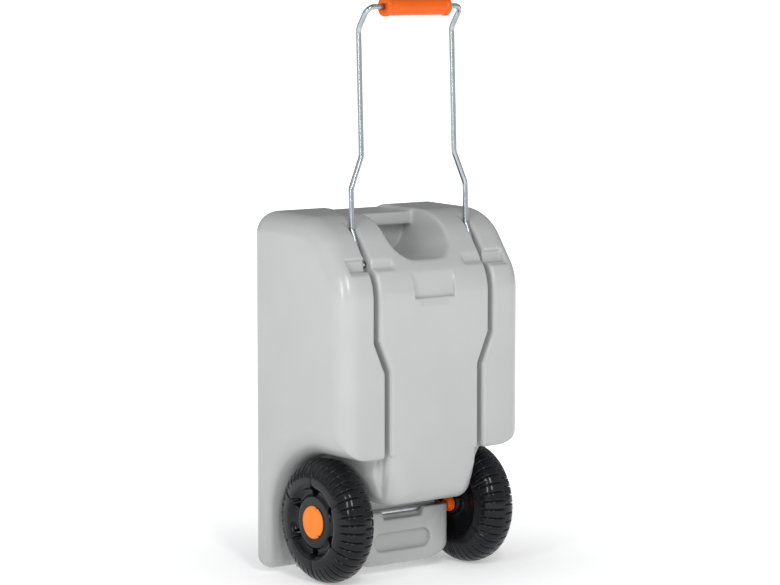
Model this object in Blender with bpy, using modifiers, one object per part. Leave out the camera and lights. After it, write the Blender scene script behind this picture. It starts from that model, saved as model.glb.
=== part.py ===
"""Wheeled waste water tank with a folding wire bail.

Metres, +Z up. X runs across the tank, the grooved front faces -Y, the flat back faces +Y,
and the floor is Z = 0 under the middle of the tank. Left is -X.
"""
import math

import bmesh
import bpy
from mathutils import Matrix, Vector

PART_NAME = "waste_water_tank"

# Tank shell
TANK_WIDTH = 0.336
TANK_DEPTH = 0.221
TANK_TOP = 0.5345
TANK_UNDERSIDE = 0.006
WALL = 0.003
TOP_TILT = math.radians(1.5)
SLOPE_FOOT_Z = 0.4415
SLOPE_ANGLE = math.radians(54.0)
FRONT_EDGE_RADIUS = 0.030
REAR_EDGE_RADIUS = 0.020
SLAB_EDGE_RADIUS = 0.014
BELLY_CORNER_RADIUS = 0.044
TOP_BACK_RADIUS = 0.030
SLOPE_HEAD_RADIUS = 0.085
SLOPE_FOOT_RADIUS = 0.075
BELLY_FRONT_RADIUS = 0.030
SLAB_FRONT_RADIUS = 0.016
SLAB_BACK_RADIUS = 0.020

# Wheels, axle and what sits on it
SLAB_THICKNESS = 0.037
WHEEL_WIDTH = 0.060
WHEEL_INSIDE_EDGE = 0.0075
WHEEL_PROUD = 0.003
WHEEL_STEPS = 40
TYRE_DEPTH = 0.034
TYRE_SQUARENESS = 2.3
TYRE_STEPS = 5
TYRE_INNER_STEPS = 3
AXLE_DIAMETER = 0.008
ARCH_CLEARANCE = 0.005
HUB_DISC_INSIDE_TYRE = 0.019
HUB_FACE_OUT = 0.0245
HUB_DISC_STEP = 0.0012
HUB_POCKET_RADIUS = 0.020
HUB_POCKET_DEPTH = 0.012
HUB_BOSS_RADIUS = 0.015
HUB_DISH = 0.012
WHEEL_SHELL = 0.003
TREAD_WALL = 0.006
SIDE_RECESS_COUNT = 6
SIDE_RECESS_RADIUS = 0.0055
SIDE_RECESS_OUTSIDE_DISC = 0.0065
SIDE_RECESS_DEPTH = 0.0018
BUSH_WALL = 0.0028
BUSH_FLANGE = 0.003
BUSH_FLANGE_THICKNESS = 0.002
SPACER_RADIUS = 0.0115
SPACER_NECK_RADIUS = 0.008
SPACER_NECK_LENGTH = 0.003
SPACER_LENGTH = 0.009
WASHER_RADIUS = 0.010
WASHER_THICKNESS = 0.0015
PUSH_NUT_RADIUS = 0.009
PUSH_NUT_HEIGHT = 0.004
PUSH_NUT_RIM = 0.0015
PUSH_NUT_CROWN = 0.002
AXLE_END_PAST_NUT = 0.002
HUB_CAP_RADIUS = 0.024
HUB_CAP_EDGE = 0.0022
HUB_CAP_DOME = 0.0045
HUB_CAP_WALL = 0.002
HUB_CAP_SKIRT_LENGTH = 0.005
HUB_CAP_NOTCHES = 3
HUB_CAP_NOTCH_RADIUS = 0.002
HUB_CAP_TURN = math.radians(38.0)

# Tongue over the axle and chin under it
TONGUE_BOTTOM = 0.1135
TONGUE_FOOT_NARROWER = 0.0245
TONGUE_WHEEL_GAP = 0.010
TONGUE_WAIST_Z = 0.156
TONGUE_ROOT_INSIDE_EDGE = 0.037
TONGUE_ROOT_OVERLAP = 0.010
TONGUE_ROOT_TOP = 0.300
TONGUE_FOOT_RADIUS = 0.016
TONGUE_WAIST_RADIUS = 0.040
TONGUE_EDGE_RADIUS = 0.030
CHIN_BEHIND_FRONT = 0.0755
CHIN_WHEEL_GAP = 0.0105
CHIN_UNDERSIDE = 0.012
CHIN_LIP_ABOVE_AXLE = 0.003
CHIN_CORNER_RADIUS = 0.040
CHIN_EDGE_RADIUS = 0.014
CHIN_RECESS_HALF_WIDTH = 0.052
CHIN_RECESS_LOW = 0.0345
CHIN_RECESS_HIGH = 0.0625
CHIN_RECESS_DEPTH = 0.009
AXLE_WALL_NARROWER = 0.016
LIP_NOTCH_HALF_WIDTH = 0.038
LIP_NOTCH_TAPER = 0.003
LIP_NOTCH_BELOW_LIP = 0.012
FOOT_HALF_WIDTH = 0.100
FOOT_BEFORE_BACK = 0.006
FOOT_DEPTH = 0.026
FOOT_EDGE_RADIUS = 0.004

# Wire bail: its pins, the knee above them, the kink in the legs and the top, about the pivot
WIRE_DIAMETER = 0.008
PIVOT_BEHIND_FRONT = 0.0385
PIVOT_Z = 0.4645
PIN_LENGTH = 0.0346
LEG_INSIDE_EDGE = 0.0624
UPPER_LEG_INSIDE_WAIST = 0.0047
KNEE_BACK = 0.0219
KNEE_UP = 0.048
LEG_LEAN = math.radians(2.0)
KINK_LOW = 0.1075
KINK_HIGH = 0.153
NECK_BEND_UP = 0.335
TOP_FORWARD = 0.0221
TOP_UP = 0.3666
PIN_BEND = 0.0065
LEG_BEND = 0.018
TOP_BEND = 0.012
FOLD_ANGLE = math.pi + LEG_LEAN
GRIP_LENGTH = 0.116
GRIP_RADIUS = 0.013
GRIP_COLLAR_RADIUS = 0.0143
GRIP_COLLAR_LENGTH = 0.007
GRIP_COLLAR_RAMP = 0.003
GRIP_EDGE = 0.0015

# Grooves, holes and pockets that take the bail
GROOVE_WIDTH = 0.012
GROOVE_CLEARANCE = 0.001
BAIL_STOP_GAP = 0.0004
HOLE_PAST_PIN = 0.004
HOLE_CLEARANCE = 0.0005
PRESS_DEPTH = 0.004
POCKET_INSIDE_EDGE = 0.0255
POCKET_LOW_Z = 0.4565
POCKET_HIGH_Z = 0.4725
POCKET_BEHIND_FRONT = 0.030
POCKET_SLANT = 0.004

# Hand hole: a scoop in front of the bar and a blind pocket under it
HAND_HALF_WIDTH = 0.056
HAND_LOW_Z = 0.468
HAND_CORNER_RADIUS = 0.038
BAR_BEHIND_FRONT = 0.1255
BAR_LOW_Z = 0.5095
BAR_DIP = 0.0045
DIP_NARROWER = 0.002
POCKET_UNDER_BAR = 0.022

# Shallow finger wedge and ledge on the front panel
WEDGE_HALF_WIDTH = 0.037
WEDGE_LOW_Z = 0.4147
WEDGE_HIGH_Z = 0.453
WEDGE_DEPTH = 0.007
LEDGE_HALF_WIDTH = 0.027
LEDGE_LOW_Z = 0.402
LEDGE_DEPTH = 0.002

# Screw caps on the back, each in a round well: centre height, well, neck and cap sizes
INLET = {"z": 0.345, "well": 0.060, "bore": 0.028, "cap": 0.042, "flutes": 20}
DRAIN = {"z": 0.082, "well": 0.045, "bore": 0.018, "cap": 0.029, "flutes": 14}
WELL_DEPTH = 0.026
WELL_DRAFT = 0.004
NECK_WALL = 0.004
NECK_HEIGHT = 0.016
GASKET_THICKNESS = 0.002
CAP_TOP_THICKNESS = 0.003
CAP_EDGE = 0.0015
CAP_SKIRT_CLEARANCE = 0.0006
CAP_SKIRT_GAP = 0.003
CAP_FLUTE_RADIUS = 0.0018

# Fits, and how finely round things are made
SEAT_GAP = 0.0003
RUN_GAP = 0.0002
CUT_PAST = 0.001
ARC_STEP = math.radians(22.5)
STEP_SLACK = 0.01
WIRE_FACET_LEVEL = 2
END_STEPS = 4
SMALLEST_ARC = 0.0005
ROUND_END = 0.98
OUTSIDE = 0.030
PLACES = 6
WELL_SIDES = 36
SMALL_SIDES = 28
RECESS_SIDES = 12
NOTCH_SIDES = 8
FLUTE_SIDES = 6

FRONT_Y = round(WHEEL_PROUD - (TANK_DEPTH + WHEEL_PROUD) / 2, PLACES)
BACK_Y = FRONT_Y + TANK_DEPTH
HALF_WIDTH = TANK_WIDTH / 2
WHEEL_RADIUS = (TANK_DEPTH + WHEEL_PROUD - ARCH_CLEARANCE - SLAB_THICKNESS) / 2
WHEEL_X = HALF_WIDTH - WHEEL_INSIDE_EDGE - WHEEL_WIDTH / 2
WHEEL_INNER_X = WHEEL_X - WHEEL_WIDTH / 2
HUB_DISC_RADIUS = WHEEL_RADIUS - TYRE_DEPTH - HUB_DISC_INSIDE_TYRE
SIDE_RECESS_CIRCLE = HUB_DISC_RADIUS + SIDE_RECESS_OUTSIDE_DISC
TONGUE_WAIST_X = WHEEL_INNER_X - TONGUE_WHEEL_GAP
TONGUE_FOOT_X = TONGUE_WAIST_X - TONGUE_FOOT_NARROWER
TONGUE_ROOT_X = HALF_WIDTH - TONGUE_ROOT_INSIDE_EDGE
CHIN_HALF_WIDTH = WHEEL_INNER_X - CHIN_WHEEL_GAP
AXLE_WALL_HALF_WIDTH = CHIN_HALF_WIDTH - AXLE_WALL_NARROWER
LEG_X = HALF_WIDTH - LEG_INSIDE_EDGE
UPPER_LEG_X = TONGUE_WAIST_X - UPPER_LEG_INSIDE_WAIST
PIN_INNER_X = LEG_X - PIN_LENGTH
POCKET_OUTER_X = HALF_WIDTH - POCKET_INSIDE_EDGE
AXLE_Y = FRONT_Y - WHEEL_PROUD + WHEEL_RADIUS
AXLE_Z = WHEEL_RADIUS
AXLE_RADIUS = AXLE_DIAMETER / 2
WIRE_RADIUS = WIRE_DIAMETER / 2
ARCH_RADIUS = WHEEL_RADIUS + ARCH_CLEARANCE
SLAB_FRONT_Y = AXLE_Y + ARCH_RADIUS
BELLY_Z = AXLE_Z + ARCH_RADIUS
CHIN_FRONT = FRONT_Y + CHIN_BEHIND_FRONT
CHIN_TOP = AXLE_Z + CHIN_LIP_ABOVE_AXLE
BAR_FRONT_Y = FRONT_Y + BAR_BEHIND_FRONT
PIVOT_Y = FRONT_Y + PIVOT_BEHIND_FRONT
HUB_POCKET_FLOOR = HUB_FACE_OUT - HUB_POCKET_DEPTH
WHEEL_BORE = AXLE_RADIUS + RUN_GAP + BUSH_WALL + SEAT_GAP
BOSS_OUT = WHEEL_X - CHIN_HALF_WIDTH - SPACER_LENGTH - 2 * SEAT_GAP


def collection(name):
    """Make a collection in the scene."""
    group = bpy.data.collections.new(name)
    bpy.context.scene.collection.children.link(group)
    return group


def material(name, colour, roughness, metallic=0.0):
    """Make a Principled material of one colour."""
    finish = bpy.data.materials.new(name)
    finish.use_nodes = True
    shader = finish.node_tree.nodes["Principled BSDF"]
    shader.inputs["Base Color"].default_value = (*colour, 1.0)
    shader.inputs["Roughness"].default_value = roughness
    shader.inputs["Metallic"].default_value = metallic
    finish.diffuse_color = (*colour, 1.0)
    return finish


def new_object(name, data, group):
    """Put an object with this data in a collection."""
    thing = bpy.data.objects.new(name, data)
    group.objects.link(thing)
    return thing


def as_cutter(thing):
    """Mark an object as a shape that only cuts or joins another."""
    thing.hide_render = True
    thing.display_type = "WIRE"
    return thing


def curve_to_mesh(thing, group, merge=1e-5):
    """Replace a curve object by the mesh it makes, with its caps welded on."""
    bpy.context.view_layer.update()
    evaluated = thing.evaluated_get(bpy.context.evaluated_depsgraph_get())
    mesh = bpy.data.meshes.new_from_object(evaluated)
    name = thing.name
    place = thing.matrix_world.copy()
    bpy.data.objects.remove(thing)
    shape = bmesh.new()
    shape.from_mesh(mesh)
    bmesh.ops.remove_doubles(shape, verts=shape.verts, dist=merge)
    bmesh.ops.dissolve_limit(
        shape, angle_limit=math.radians(0.5), verts=shape.verts, edges=shape.edges
    )
    bmesh.ops.recalc_face_normals(shape, faces=shape.faces)
    shape.to_mesh(mesh)
    shape.free()
    solid = new_object(name, mesh, group)
    solid.matrix_world = place
    return solid


def line_meeting(start, end, shift_before, before, shift_after, after):
    """Where two sides of an outline meet once each has moved inwards by its own shift."""
    way_in = (start - before).normalized()
    way_out = (end - start).normalized()
    normal_in = Vector((-way_in.y, way_in.x))
    normal_out = Vector((-way_out.y, way_out.x))
    cross = way_in.cross(way_out)
    if abs(cross) < 1e-6:
        return start + normal_in * shift_before
    gap = (start + normal_out * shift_after) - (start + normal_in * shift_before)
    return start + normal_in * shift_before + way_in * (gap.cross(way_out) / cross)


def rounded_outline(corners, insets=0.0):
    """Points of a closed outline, counter-clockwise, from corners (across, up, fillet radius).

    Each side, named by the corner it starts at, is first moved inwards by its inset.
    """
    count = len(corners)
    if not isinstance(insets, (list, tuple)):
        insets = [insets] * count
    plain = [Vector(corner[:2]) for corner in corners]
    moved = []
    for index, here in enumerate(plain):
        after = plain[(index + 1) % count]
        before = plain[index - 1]
        moved.append(line_meeting(here, after, insets[index - 1], before, insets[index], after))
    points = []
    for index, here in enumerate(moved):
        way_in = (here - moved[index - 1]).normalized()
        way_out = (moved[(index + 1) % count] - here).normalized()
        turn = math.atan2(way_in.cross(way_out), way_in.dot(way_out))
        side = math.copysign(1.0, turn)
        radius = corners[index][2]
        if radius <= 0:
            points.append(here)
            continue
        radius = max(radius - side * (insets[index - 1] + insets[index]) / 2, SMALLEST_ARC)
        start = here - way_in * (radius * math.tan(abs(turn) / 2))
        centre = start + Vector((-way_in.y, way_in.x)) * (radius * side)
        own_way_in = (plain[index] - plain[index - 1]).normalized()
        own_way_out = (plain[(index + 1) % count] - plain[index]).normalized()
        steps = max(2, math.ceil(own_way_in.angle(own_way_out) / ARC_STEP - STEP_SLACK))
        spoke = start - centre
        for step in range(steps + 1):
            points.append(centre + Matrix.Rotation(turn * step / steps, 2) @ spoke)
    return [Vector((round(point.x, PLACES), round(point.y, PLACES))) for point in points]


# Where an outline's own two directions and its thickness go in the tank
SIDE_VIEW = Matrix(((0, 0, 1, 0), (1, 0, 0, 0), (0, 1, 0, 0), (0, 0, 0, 1)))
FRONT_VIEW = Matrix(((1, 0, 0, 0), (0, 0, -1, 0), (0, 1, 0, 0), (0, 0, 0, 1)))


def view_depth(depth, view):
    """The third coordinate of an outline's own frame that lies at a depth in the tank."""
    return depth if view is SIDE_VIEW else -depth


def prism(name, outline, low, high, view, group):
    """Extrude an outline. SIDE_VIEW takes (y, z) along X, FRONT_VIEW takes (x, z) along Y."""
    curve = bpy.data.curves.new(name, "CURVE")
    curve.dimensions = "2D"
    curve.fill_mode = "BOTH"
    curve.extrude = (high - low) / 2
    spline = curve.splines.new("POLY")
    spline.points.add(len(outline) - 1)
    for point, (across, up) in zip(spline.points, outline):
        point.co = (across, up, 0.0, 1.0)
    spline.use_cyclic_u = True
    flat = new_object(name, curve, group)
    flat.matrix_world = view @ Matrix.Translation((0, 0, view_depth((low + high) / 2, view)))
    solid = curve_to_mesh(flat, group)
    solid.data.transform(solid.matrix_world)
    solid.matrix_world = Matrix.Identity(4)
    return as_cutter(solid)


def mirrored(solid, name, group):
    """A copy of a solid on the other side of the tank's middle plane."""
    mesh = solid.data.copy()
    mesh.transform(Matrix.Scale(-1, 4, (1, 0, 0)))
    mesh.flip_normals()
    return as_cutter(new_object(name, mesh, group))


def end_inset(radius, distance):
    """How far a side draws in at a distance from the end plane that it is rounded into."""
    if distance >= radius:
        return 0.0
    return radius - math.sqrt(radius ** 2 - (radius - distance) ** 2)


def rounded_mass(name, corners, low, high, view, inset, group, ends=(True, True)):
    """Loft an outline from low to high, with its end edges rounded.

    Each corner is (across, up, fillet radius, end radius of the side that starts there). The
    whole mass is moved inwards by inset.
    """
    largest = max(corner[3] for corner in corners) - inset
    quarter = math.pi / 2
    away = [largest * (1 - math.cos(quarter * step / END_STEPS)) for step in range(END_STEPS + 1)]
    start, end = low + inset * ends[0], high - inset * ends[1]
    stations = [(start + step, step) for step in away] if ends[0] else [(start, largest)]
    if ends[1]:
        stations += [(end - step, step) for step in reversed(away)]
    else:
        stations += [(end, largest)]
    shape = bmesh.new()
    loops = []
    for depth, distance in stations:
        insets = [inset + end_inset(max(corner[3] - inset, 0.0), distance) for corner in corners]
        loops.append([
            shape.verts.new(view @ Vector((point.x, point.y, view_depth(depth, view))))
            for point in rounded_outline(corners, insets)
        ])
    for near, far in zip(loops, loops[1:]):
        for index in range(len(near)):
            after = (index + 1) % len(near)
            shape.faces.new((near[index], near[after], far[after], far[index]))
    shape.faces.new(loops[0])
    shape.faces.new(loops[-1])
    bmesh.ops.recalc_face_normals(shape, faces=shape.faces)
    mesh = bpy.data.meshes.new(name)
    shape.to_mesh(mesh)
    shape.free()
    return as_cutter(new_object(name, mesh, group))


def boolean(solid, other, operation):
    """Join or cut one solid with another."""
    step = solid.modifiers.new(other.name, "BOOLEAN")
    step.operation = operation
    step.solver = "EXACT"
    step.object = other


def turned(name, profile, steps, place, finish, group):
    """Turn a closed profile of (radius, height) about its own Z axis."""
    mesh = bpy.data.meshes.new(name)
    shape = bmesh.new()
    ring = [shape.verts.new((radius, 0.0, height)) for radius, height in profile]
    for index, vertex in enumerate(ring):
        shape.edges.new((vertex, ring[(index + 1) % len(ring)]))
    shape.to_mesh(mesh)
    shape.free()
    solid = new_object(name, mesh, group)
    screw = solid.modifiers.new("turned", "SCREW")
    screw.steps = steps
    screw.render_steps = steps
    screw.use_merge_vertices = True
    screw.merge_threshold = 1e-5
    screw.use_smooth_shade = False
    solid.matrix_world = place
    mesh.materials.append(finish)
    return solid


def disc(name, radius, low, high, place, group, sides=SMALL_SIDES):
    """A plain round cutter along its own Z axis."""
    mesh = bpy.data.meshes.new(name)
    shape = bmesh.new()
    bmesh.ops.create_cone(
        shape, cap_ends=True, segments=sides, radius1=radius, radius2=radius, depth=high - low
    )
    bmesh.ops.translate(shape, verts=shape.verts, vec=(0, 0, (low + high) / 2))
    shape.to_mesh(mesh)
    shape.free()
    solid = as_cutter(new_object(name, mesh, group))
    solid.matrix_world = place
    return solid


def hold(child, parent):
    """Parent a piece without moving it."""
    bpy.context.view_layer.update()
    child.parent = parent
    child.matrix_parent_inverse = parent.matrix_world.inverted()


def slope_y(height):
    """Where the sloping front panel lies at a height, before its ends are rounded."""
    return FRONT_Y + (height - SLOPE_FOOT_Z) / math.tan(SLOPE_ANGLE)


def side_corners():
    """Side view of the tank, counter-clockwise from the foot of the rear slab."""
    rise = math.tan(TOP_TILT)
    back_z = TANK_TOP + TOP_BACK_RADIUS * (rise + 1 / math.cos(TOP_TILT) - 1)
    steep = math.tan(SLOPE_ANGLE)
    level_z = back_z - TANK_DEPTH * rise
    reach = (level_z - SLOPE_FOOT_Z) / (steep - rise)
    return [
        (SLAB_FRONT_Y, TANK_UNDERSIDE, SLAB_FRONT_RADIUS, REAR_EDGE_RADIUS),
        (BACK_Y, TANK_UNDERSIDE, SLAB_BACK_RADIUS, REAR_EDGE_RADIUS),
        (BACK_Y, back_z, TOP_BACK_RADIUS, FRONT_EDGE_RADIUS),
        (FRONT_Y + reach, SLOPE_FOOT_Z + reach * steep, SLOPE_HEAD_RADIUS, FRONT_EDGE_RADIUS),
        (FRONT_Y, SLOPE_FOOT_Z, SLOPE_FOOT_RADIUS, FRONT_EDGE_RADIUS),
        (FRONT_Y, BELLY_Z, BELLY_FRONT_RADIUS, BELLY_CORNER_RADIUS),
        (SLAB_FRONT_Y, BELLY_Z, ARCH_RADIUS, SLAB_EDGE_RADIUS),
    ]


def main_mass(name, inset, group):
    """The broad upper tank, with the slab that runs down behind the wheels."""
    return rounded_mass(
        name, side_corners(), -HALF_WIDTH, HALF_WIDTH, SIDE_VIEW, inset, group
    )


def tongue_mass(name, inset, group):
    """The part of the front that reaches down between the wheels, over the axle."""
    right = [
        (TONGUE_FOOT_X, TONGUE_BOTTOM, TONGUE_FOOT_RADIUS, TONGUE_EDGE_RADIUS),
        (TONGUE_WAIST_X, TONGUE_WAIST_Z, TONGUE_WAIST_RADIUS, TONGUE_EDGE_RADIUS),
        (TONGUE_ROOT_X, BELLY_Z + TONGUE_ROOT_OVERLAP, 0.0, 0.0),
        (TONGUE_ROOT_X, TONGUE_ROOT_TOP, 0.0, 0.0),
    ]
    left = [
        (-TONGUE_ROOT_X, TONGUE_ROOT_TOP, 0.0, 0.0),
        (-TONGUE_ROOT_X, BELLY_Z + TONGUE_ROOT_OVERLAP, 0.0, TONGUE_EDGE_RADIUS),
        (-TONGUE_WAIST_X, TONGUE_WAIST_Z, TONGUE_WAIST_RADIUS, TONGUE_EDGE_RADIUS),
        (-TONGUE_FOOT_X, TONGUE_BOTTOM, TONGUE_FOOT_RADIUS, TONGUE_EDGE_RADIUS),
    ]
    back = SLAB_FRONT_Y + 2 * WALL
    return rounded_mass(
        name, right + left, FRONT_Y, back, FRONT_VIEW, inset, group, ends=(True, False)
    )


def chin_mass(name, inset, group):
    """The block under the tongue, up to the lip in front of the axle."""
    back = SLAB_FRONT_Y + 2 * WALL + inset
    top = AXLE_Z - AXLE_RADIUS - SEAT_GAP if inset else CHIN_TOP
    corners = [
        (CHIN_FRONT, CHIN_UNDERSIDE, CHIN_EDGE_RADIUS, CHIN_CORNER_RADIUS),
        (back, CHIN_UNDERSIDE, 0.0, 0.0),
        (back, top, 0.0, 0.0),
        (CHIN_FRONT, top, 0.0, CHIN_EDGE_RADIUS),
    ]
    return rounded_mass(
        name, corners, -CHIN_HALF_WIDTH, CHIN_HALF_WIDTH, SIDE_VIEW, inset, group
    )


def axle_wall_mass(name, inset, group):
    """The wall behind the axle, which joins the chin to the tongue."""
    near = AXLE_Y + AXLE_RADIUS + 2 * SEAT_GAP + inset
    low = AXLE_Z - 2 * AXLE_DIAMETER
    high = TONGUE_BOTTOM + 4 * WALL - inset
    far = SLAB_FRONT_Y + 2 * WALL + inset
    outline = [(near, low), (far, low), (far, high), (near, high)]
    edge = AXLE_WALL_HALF_WIDTH - inset
    return prism(name, outline, -edge, edge, SIDE_VIEW, group)


def trough_cutter(name, group):
    """The trough that the axle lies in, open upwards."""
    seat = AXLE_RADIUS + SEAT_GAP
    outline = rounded_outline([
        (AXLE_Y - seat, AXLE_Z - seat, seat * ROUND_END),
        (AXLE_Y + seat, AXLE_Z - seat, seat * ROUND_END),
        (AXLE_Y + seat, TONGUE_BOTTOM - WALL, 0.0),
        (AXLE_Y - seat, TONGUE_BOTTOM - WALL, 0.0),
    ])
    return prism(name, outline, -HALF_WIDTH, HALF_WIDTH, SIDE_VIEW, group)


def leg_plane_outline(extra, low):
    """Side view of the space that a leg sweeps, open to the front and at the top."""
    reach = WIRE_RADIUS + extra
    run = Vector((KNEE_BACK, KNEE_UP))
    behind = Vector((run.y, -run.x)).normalized() * (reach + BAIL_STOP_GAP)
    back = Vector((PIVOT_Y, PIVOT_Z)) + behind
    top = back + run * ((TANK_TOP + OUTSIDE - back.y) / run.y)
    floor_y = folded_leg_y() + reach + GROOVE_CLEARANCE
    foot = back - run * ((back.y - low) / run.y)
    return [
        (FRONT_Y - OUTSIDE, low),
        (max(foot.x, floor_y), low),
        tuple(top),
        (FRONT_Y - OUTSIDE, top.y),
    ]


def folded_leg_y():
    """How far forward a leg lies when the bail is folded down."""
    back, up = KNEE_BACK, KNEE_UP
    return PIVOT_Y + back * math.cos(FOLD_ANGLE) - up * math.sin(FOLD_ANGLE)


def groove_cutters(extra, group, tag):
    """Grooves, pin holes and pockets for the bail, each side, grown by extra."""
    half = GROOVE_WIDTH / 2 + extra
    floor_y = folded_leg_y() + WIRE_RADIUS + extra + GROOVE_CLEARANCE
    kink_top = PIVOT_Z - KINK_LOW
    kink_foot = PIVOT_Z - KINK_HIGH
    lean = math.atan2(LEG_X - UPPER_LEG_X, kink_top - kink_foot)
    miter = half * math.tan(lean / 2)
    path = [
        (LEG_X - half, PIVOT_Z - KNEE_UP / 2),
        (LEG_X - half, kink_top + miter),
        (UPPER_LEG_X - half, kink_foot + miter),
        (UPPER_LEG_X - half, TONGUE_BOTTOM - OUTSIDE),
        (UPPER_LEG_X + half, TONGUE_BOTTOM - OUTSIDE),
        (UPPER_LEG_X + half, kink_foot - miter),
        (LEG_X + half, kink_top - miter),
        (LEG_X + half, PIVOT_Z - KNEE_UP / 2),
    ]
    cutters = [
        prism(tag + "groove_run", path, FRONT_Y - OUTSIDE, floor_y, FRONT_VIEW, group),
        prism(
            tag + "groove_sweep", leg_plane_outline(extra, PIVOT_Z - KNEE_UP),
            LEG_X - half, LEG_X + half, SIDE_VIEW, group,
        ),
    ]
    hole_half = WIRE_RADIUS + HOLE_CLEARANCE + extra
    hole_end = PIN_INNER_X - HOLE_PAST_PIN - extra
    hole = [
        (PIVOT_Y - hole_half, PIVOT_Z - hole_half, hole_half * ROUND_END),
        (PIVOT_Y + hole_half, PIVOT_Z - hole_half, hole_half * ROUND_END),
        (PIVOT_Y + hole_half, PIVOT_Z + hole_half, hole_half * ROUND_END),
        (PIVOT_Y - hole_half, PIVOT_Z + hole_half, hole_half * ROUND_END),
    ]
    press_y = slope_y(PIVOT_Z) + PRESS_DEPTH + extra
    press = [
        (FRONT_Y - OUTSIDE, PIVOT_Z - hole_half),
        (press_y, PIVOT_Z - hole_half),
        (press_y, PIVOT_Z + hole_half),
        (FRONT_Y - OUTSIDE, PIVOT_Z + hole_half),
    ]
    for name, shape in (("hole", rounded_outline(hole)), ("press", press)):
        cutters.append(prism(tag + name, shape, hole_end, LEG_X, SIDE_VIEW, group))
    pocket_back = FRONT_Y + POCKET_BEHIND_FRONT + extra
    pocket = [
        (FRONT_Y - OUTSIDE, POCKET_LOW_Z - extra),
        (pocket_back - POCKET_SLANT, POCKET_LOW_Z - extra),
        (pocket_back, POCKET_HIGH_Z + extra),
        (FRONT_Y - OUTSIDE, POCKET_HIGH_Z + extra),
    ]
    cutters.append(
        prism(tag + "pocket", pocket, LEG_X, POCKET_OUTER_X + extra, SIDE_VIEW, group)
    )
    for cutter in list(cutters):
        cutters.append(mirrored(cutter, cutter.name + "_left", group))
    return cutters


def hand_cutters(extra, group, tag):
    """The hand hole: a scoop in front of the bar, the pocket under it and the dip of its top."""
    wide = HAND_HALF_WIDTH + extra
    high = TANK_TOP + OUTSIDE
    outline = rounded_outline([
        (-wide, HAND_LOW_Z - extra, HAND_CORNER_RADIUS + extra),
        (wide, HAND_LOW_Z - extra, HAND_CORNER_RADIUS + extra),
        (wide, high, 0.0),
        (-wide, high, 0.0),
    ])
    near, low = BAR_FRONT_Y + extra, BAR_LOW_Z + extra
    far = near + POCKET_UNDER_BAR
    hand = prism(tag + "hand", outline, FRONT_Y - OUTSIDE, far, FRONT_VIEW, group)
    past = OUTSIDE
    bar = [(near, low), (far + past, low), (far + past, high + past), (near, high + past)]
    boolean(
        hand, prism(tag + "bar", bar, -wide - past, wide + past, SIDE_VIEW, group), "DIFFERENCE"
    )
    return [hand, dip_cutter(tag + "bar_dip", extra, group)]


def dip_cutter(name, extra, group):
    """Takes the top down a little between the shoulders, from the scoop to the back."""
    drop = BAR_DIP + extra
    rise = math.tan(TOP_TILT)
    near = FRONT_Y + BAR_BEHIND_FRONT / 2
    far = BACK_Y + OUTSIDE
    flat_end = BACK_Y - TOP_BACK_RADIUS
    outline = [
        (near, TANK_TOP - drop - (flat_end - near) * rise),
        (flat_end, TANK_TOP - drop),
        (far, TANK_TOP - drop),
        (far, TANK_TOP + OUTSIDE),
        (near, TANK_TOP + OUTSIDE),
    ]
    wide = HAND_HALF_WIDTH - DIP_NARROWER + extra
    return prism(name, outline, -wide, wide, SIDE_VIEW, group)


def front_panel_cutters(extra, group, tag):
    """The finger wedge with the small ledge under it, and the chin's recess and notch."""
    wedge = [
        (FRONT_Y - OUTSIDE, WEDGE_LOW_Z - extra),
        (FRONT_Y + WEDGE_DEPTH + extra, WEDGE_LOW_Z - extra),
        (slope_y(WEDGE_HIGH_Z) + extra, WEDGE_HIGH_Z + extra),
        (FRONT_Y - OUTSIDE, WEDGE_HIGH_Z + extra),
    ]
    wide = WEDGE_HALF_WIDTH + extra
    cutters = [prism(tag + "wedge", wedge, -wide, wide, SIDE_VIEW, group)]
    middle = (CHIN_RECESS_LOW + CHIN_RECESS_HIGH) / 2
    half = (CHIN_RECESS_HIGH - CHIN_RECESS_LOW) / 2 + extra
    reach = CHIN_RECESS_HALF_WIDTH + extra
    track = rounded_outline([
        (-reach, middle - half, half * ROUND_END),
        (reach, middle - half, half * ROUND_END),
        (reach, middle + half, half * ROUND_END),
        (-reach, middle + half, half * ROUND_END),
    ])
    floor_y = CHIN_FRONT + CHIN_RECESS_DEPTH + extra
    cutters.append(
        prism(tag + "chin_recess", track, CHIN_FRONT - OUTSIDE, floor_y, FRONT_VIEW, group)
    )
    notch_high = CHIN_TOP + SEAT_GAP
    notch_low = CHIN_TOP - LIP_NOTCH_BELOW_LIP - extra
    notch_wide = LIP_NOTCH_HALF_WIDTH + extra
    notch = [
        (-notch_wide + LIP_NOTCH_TAPER, notch_low),
        (notch_wide - LIP_NOTCH_TAPER, notch_low),
        (notch_wide, notch_high),
        (-notch_wide, notch_high),
    ]
    notch_back = AXLE_Y - AXLE_RADIUS + extra
    cutters.append(
        prism(tag + "lip_notch", notch, CHIN_FRONT - OUTSIDE, notch_back, FRONT_VIEW, group)
    )
    if extra > 0:
        return cutters
    ledge = [
        (FRONT_Y - OUTSIDE, LEDGE_LOW_Z),
        (FRONT_Y, LEDGE_LOW_Z),
        (FRONT_Y + LEDGE_DEPTH, WEDGE_LOW_Z + SEAT_GAP),
        (FRONT_Y - OUTSIDE, WEDGE_LOW_Z + SEAT_GAP),
    ]
    cutters.append(
        prism(tag + "ledge", ledge, -LEDGE_HALF_WIDTH, LEDGE_HALF_WIDTH, SIDE_VIEW, group)
    )
    return cutters


def back_axis(height, depth=BACK_Y):
    """A frame on the back of the tank whose Z axis points out of it."""
    return Matrix.Translation((0, depth, height)) @ Matrix.Rotation(-math.pi / 2, 4, "X")


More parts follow.
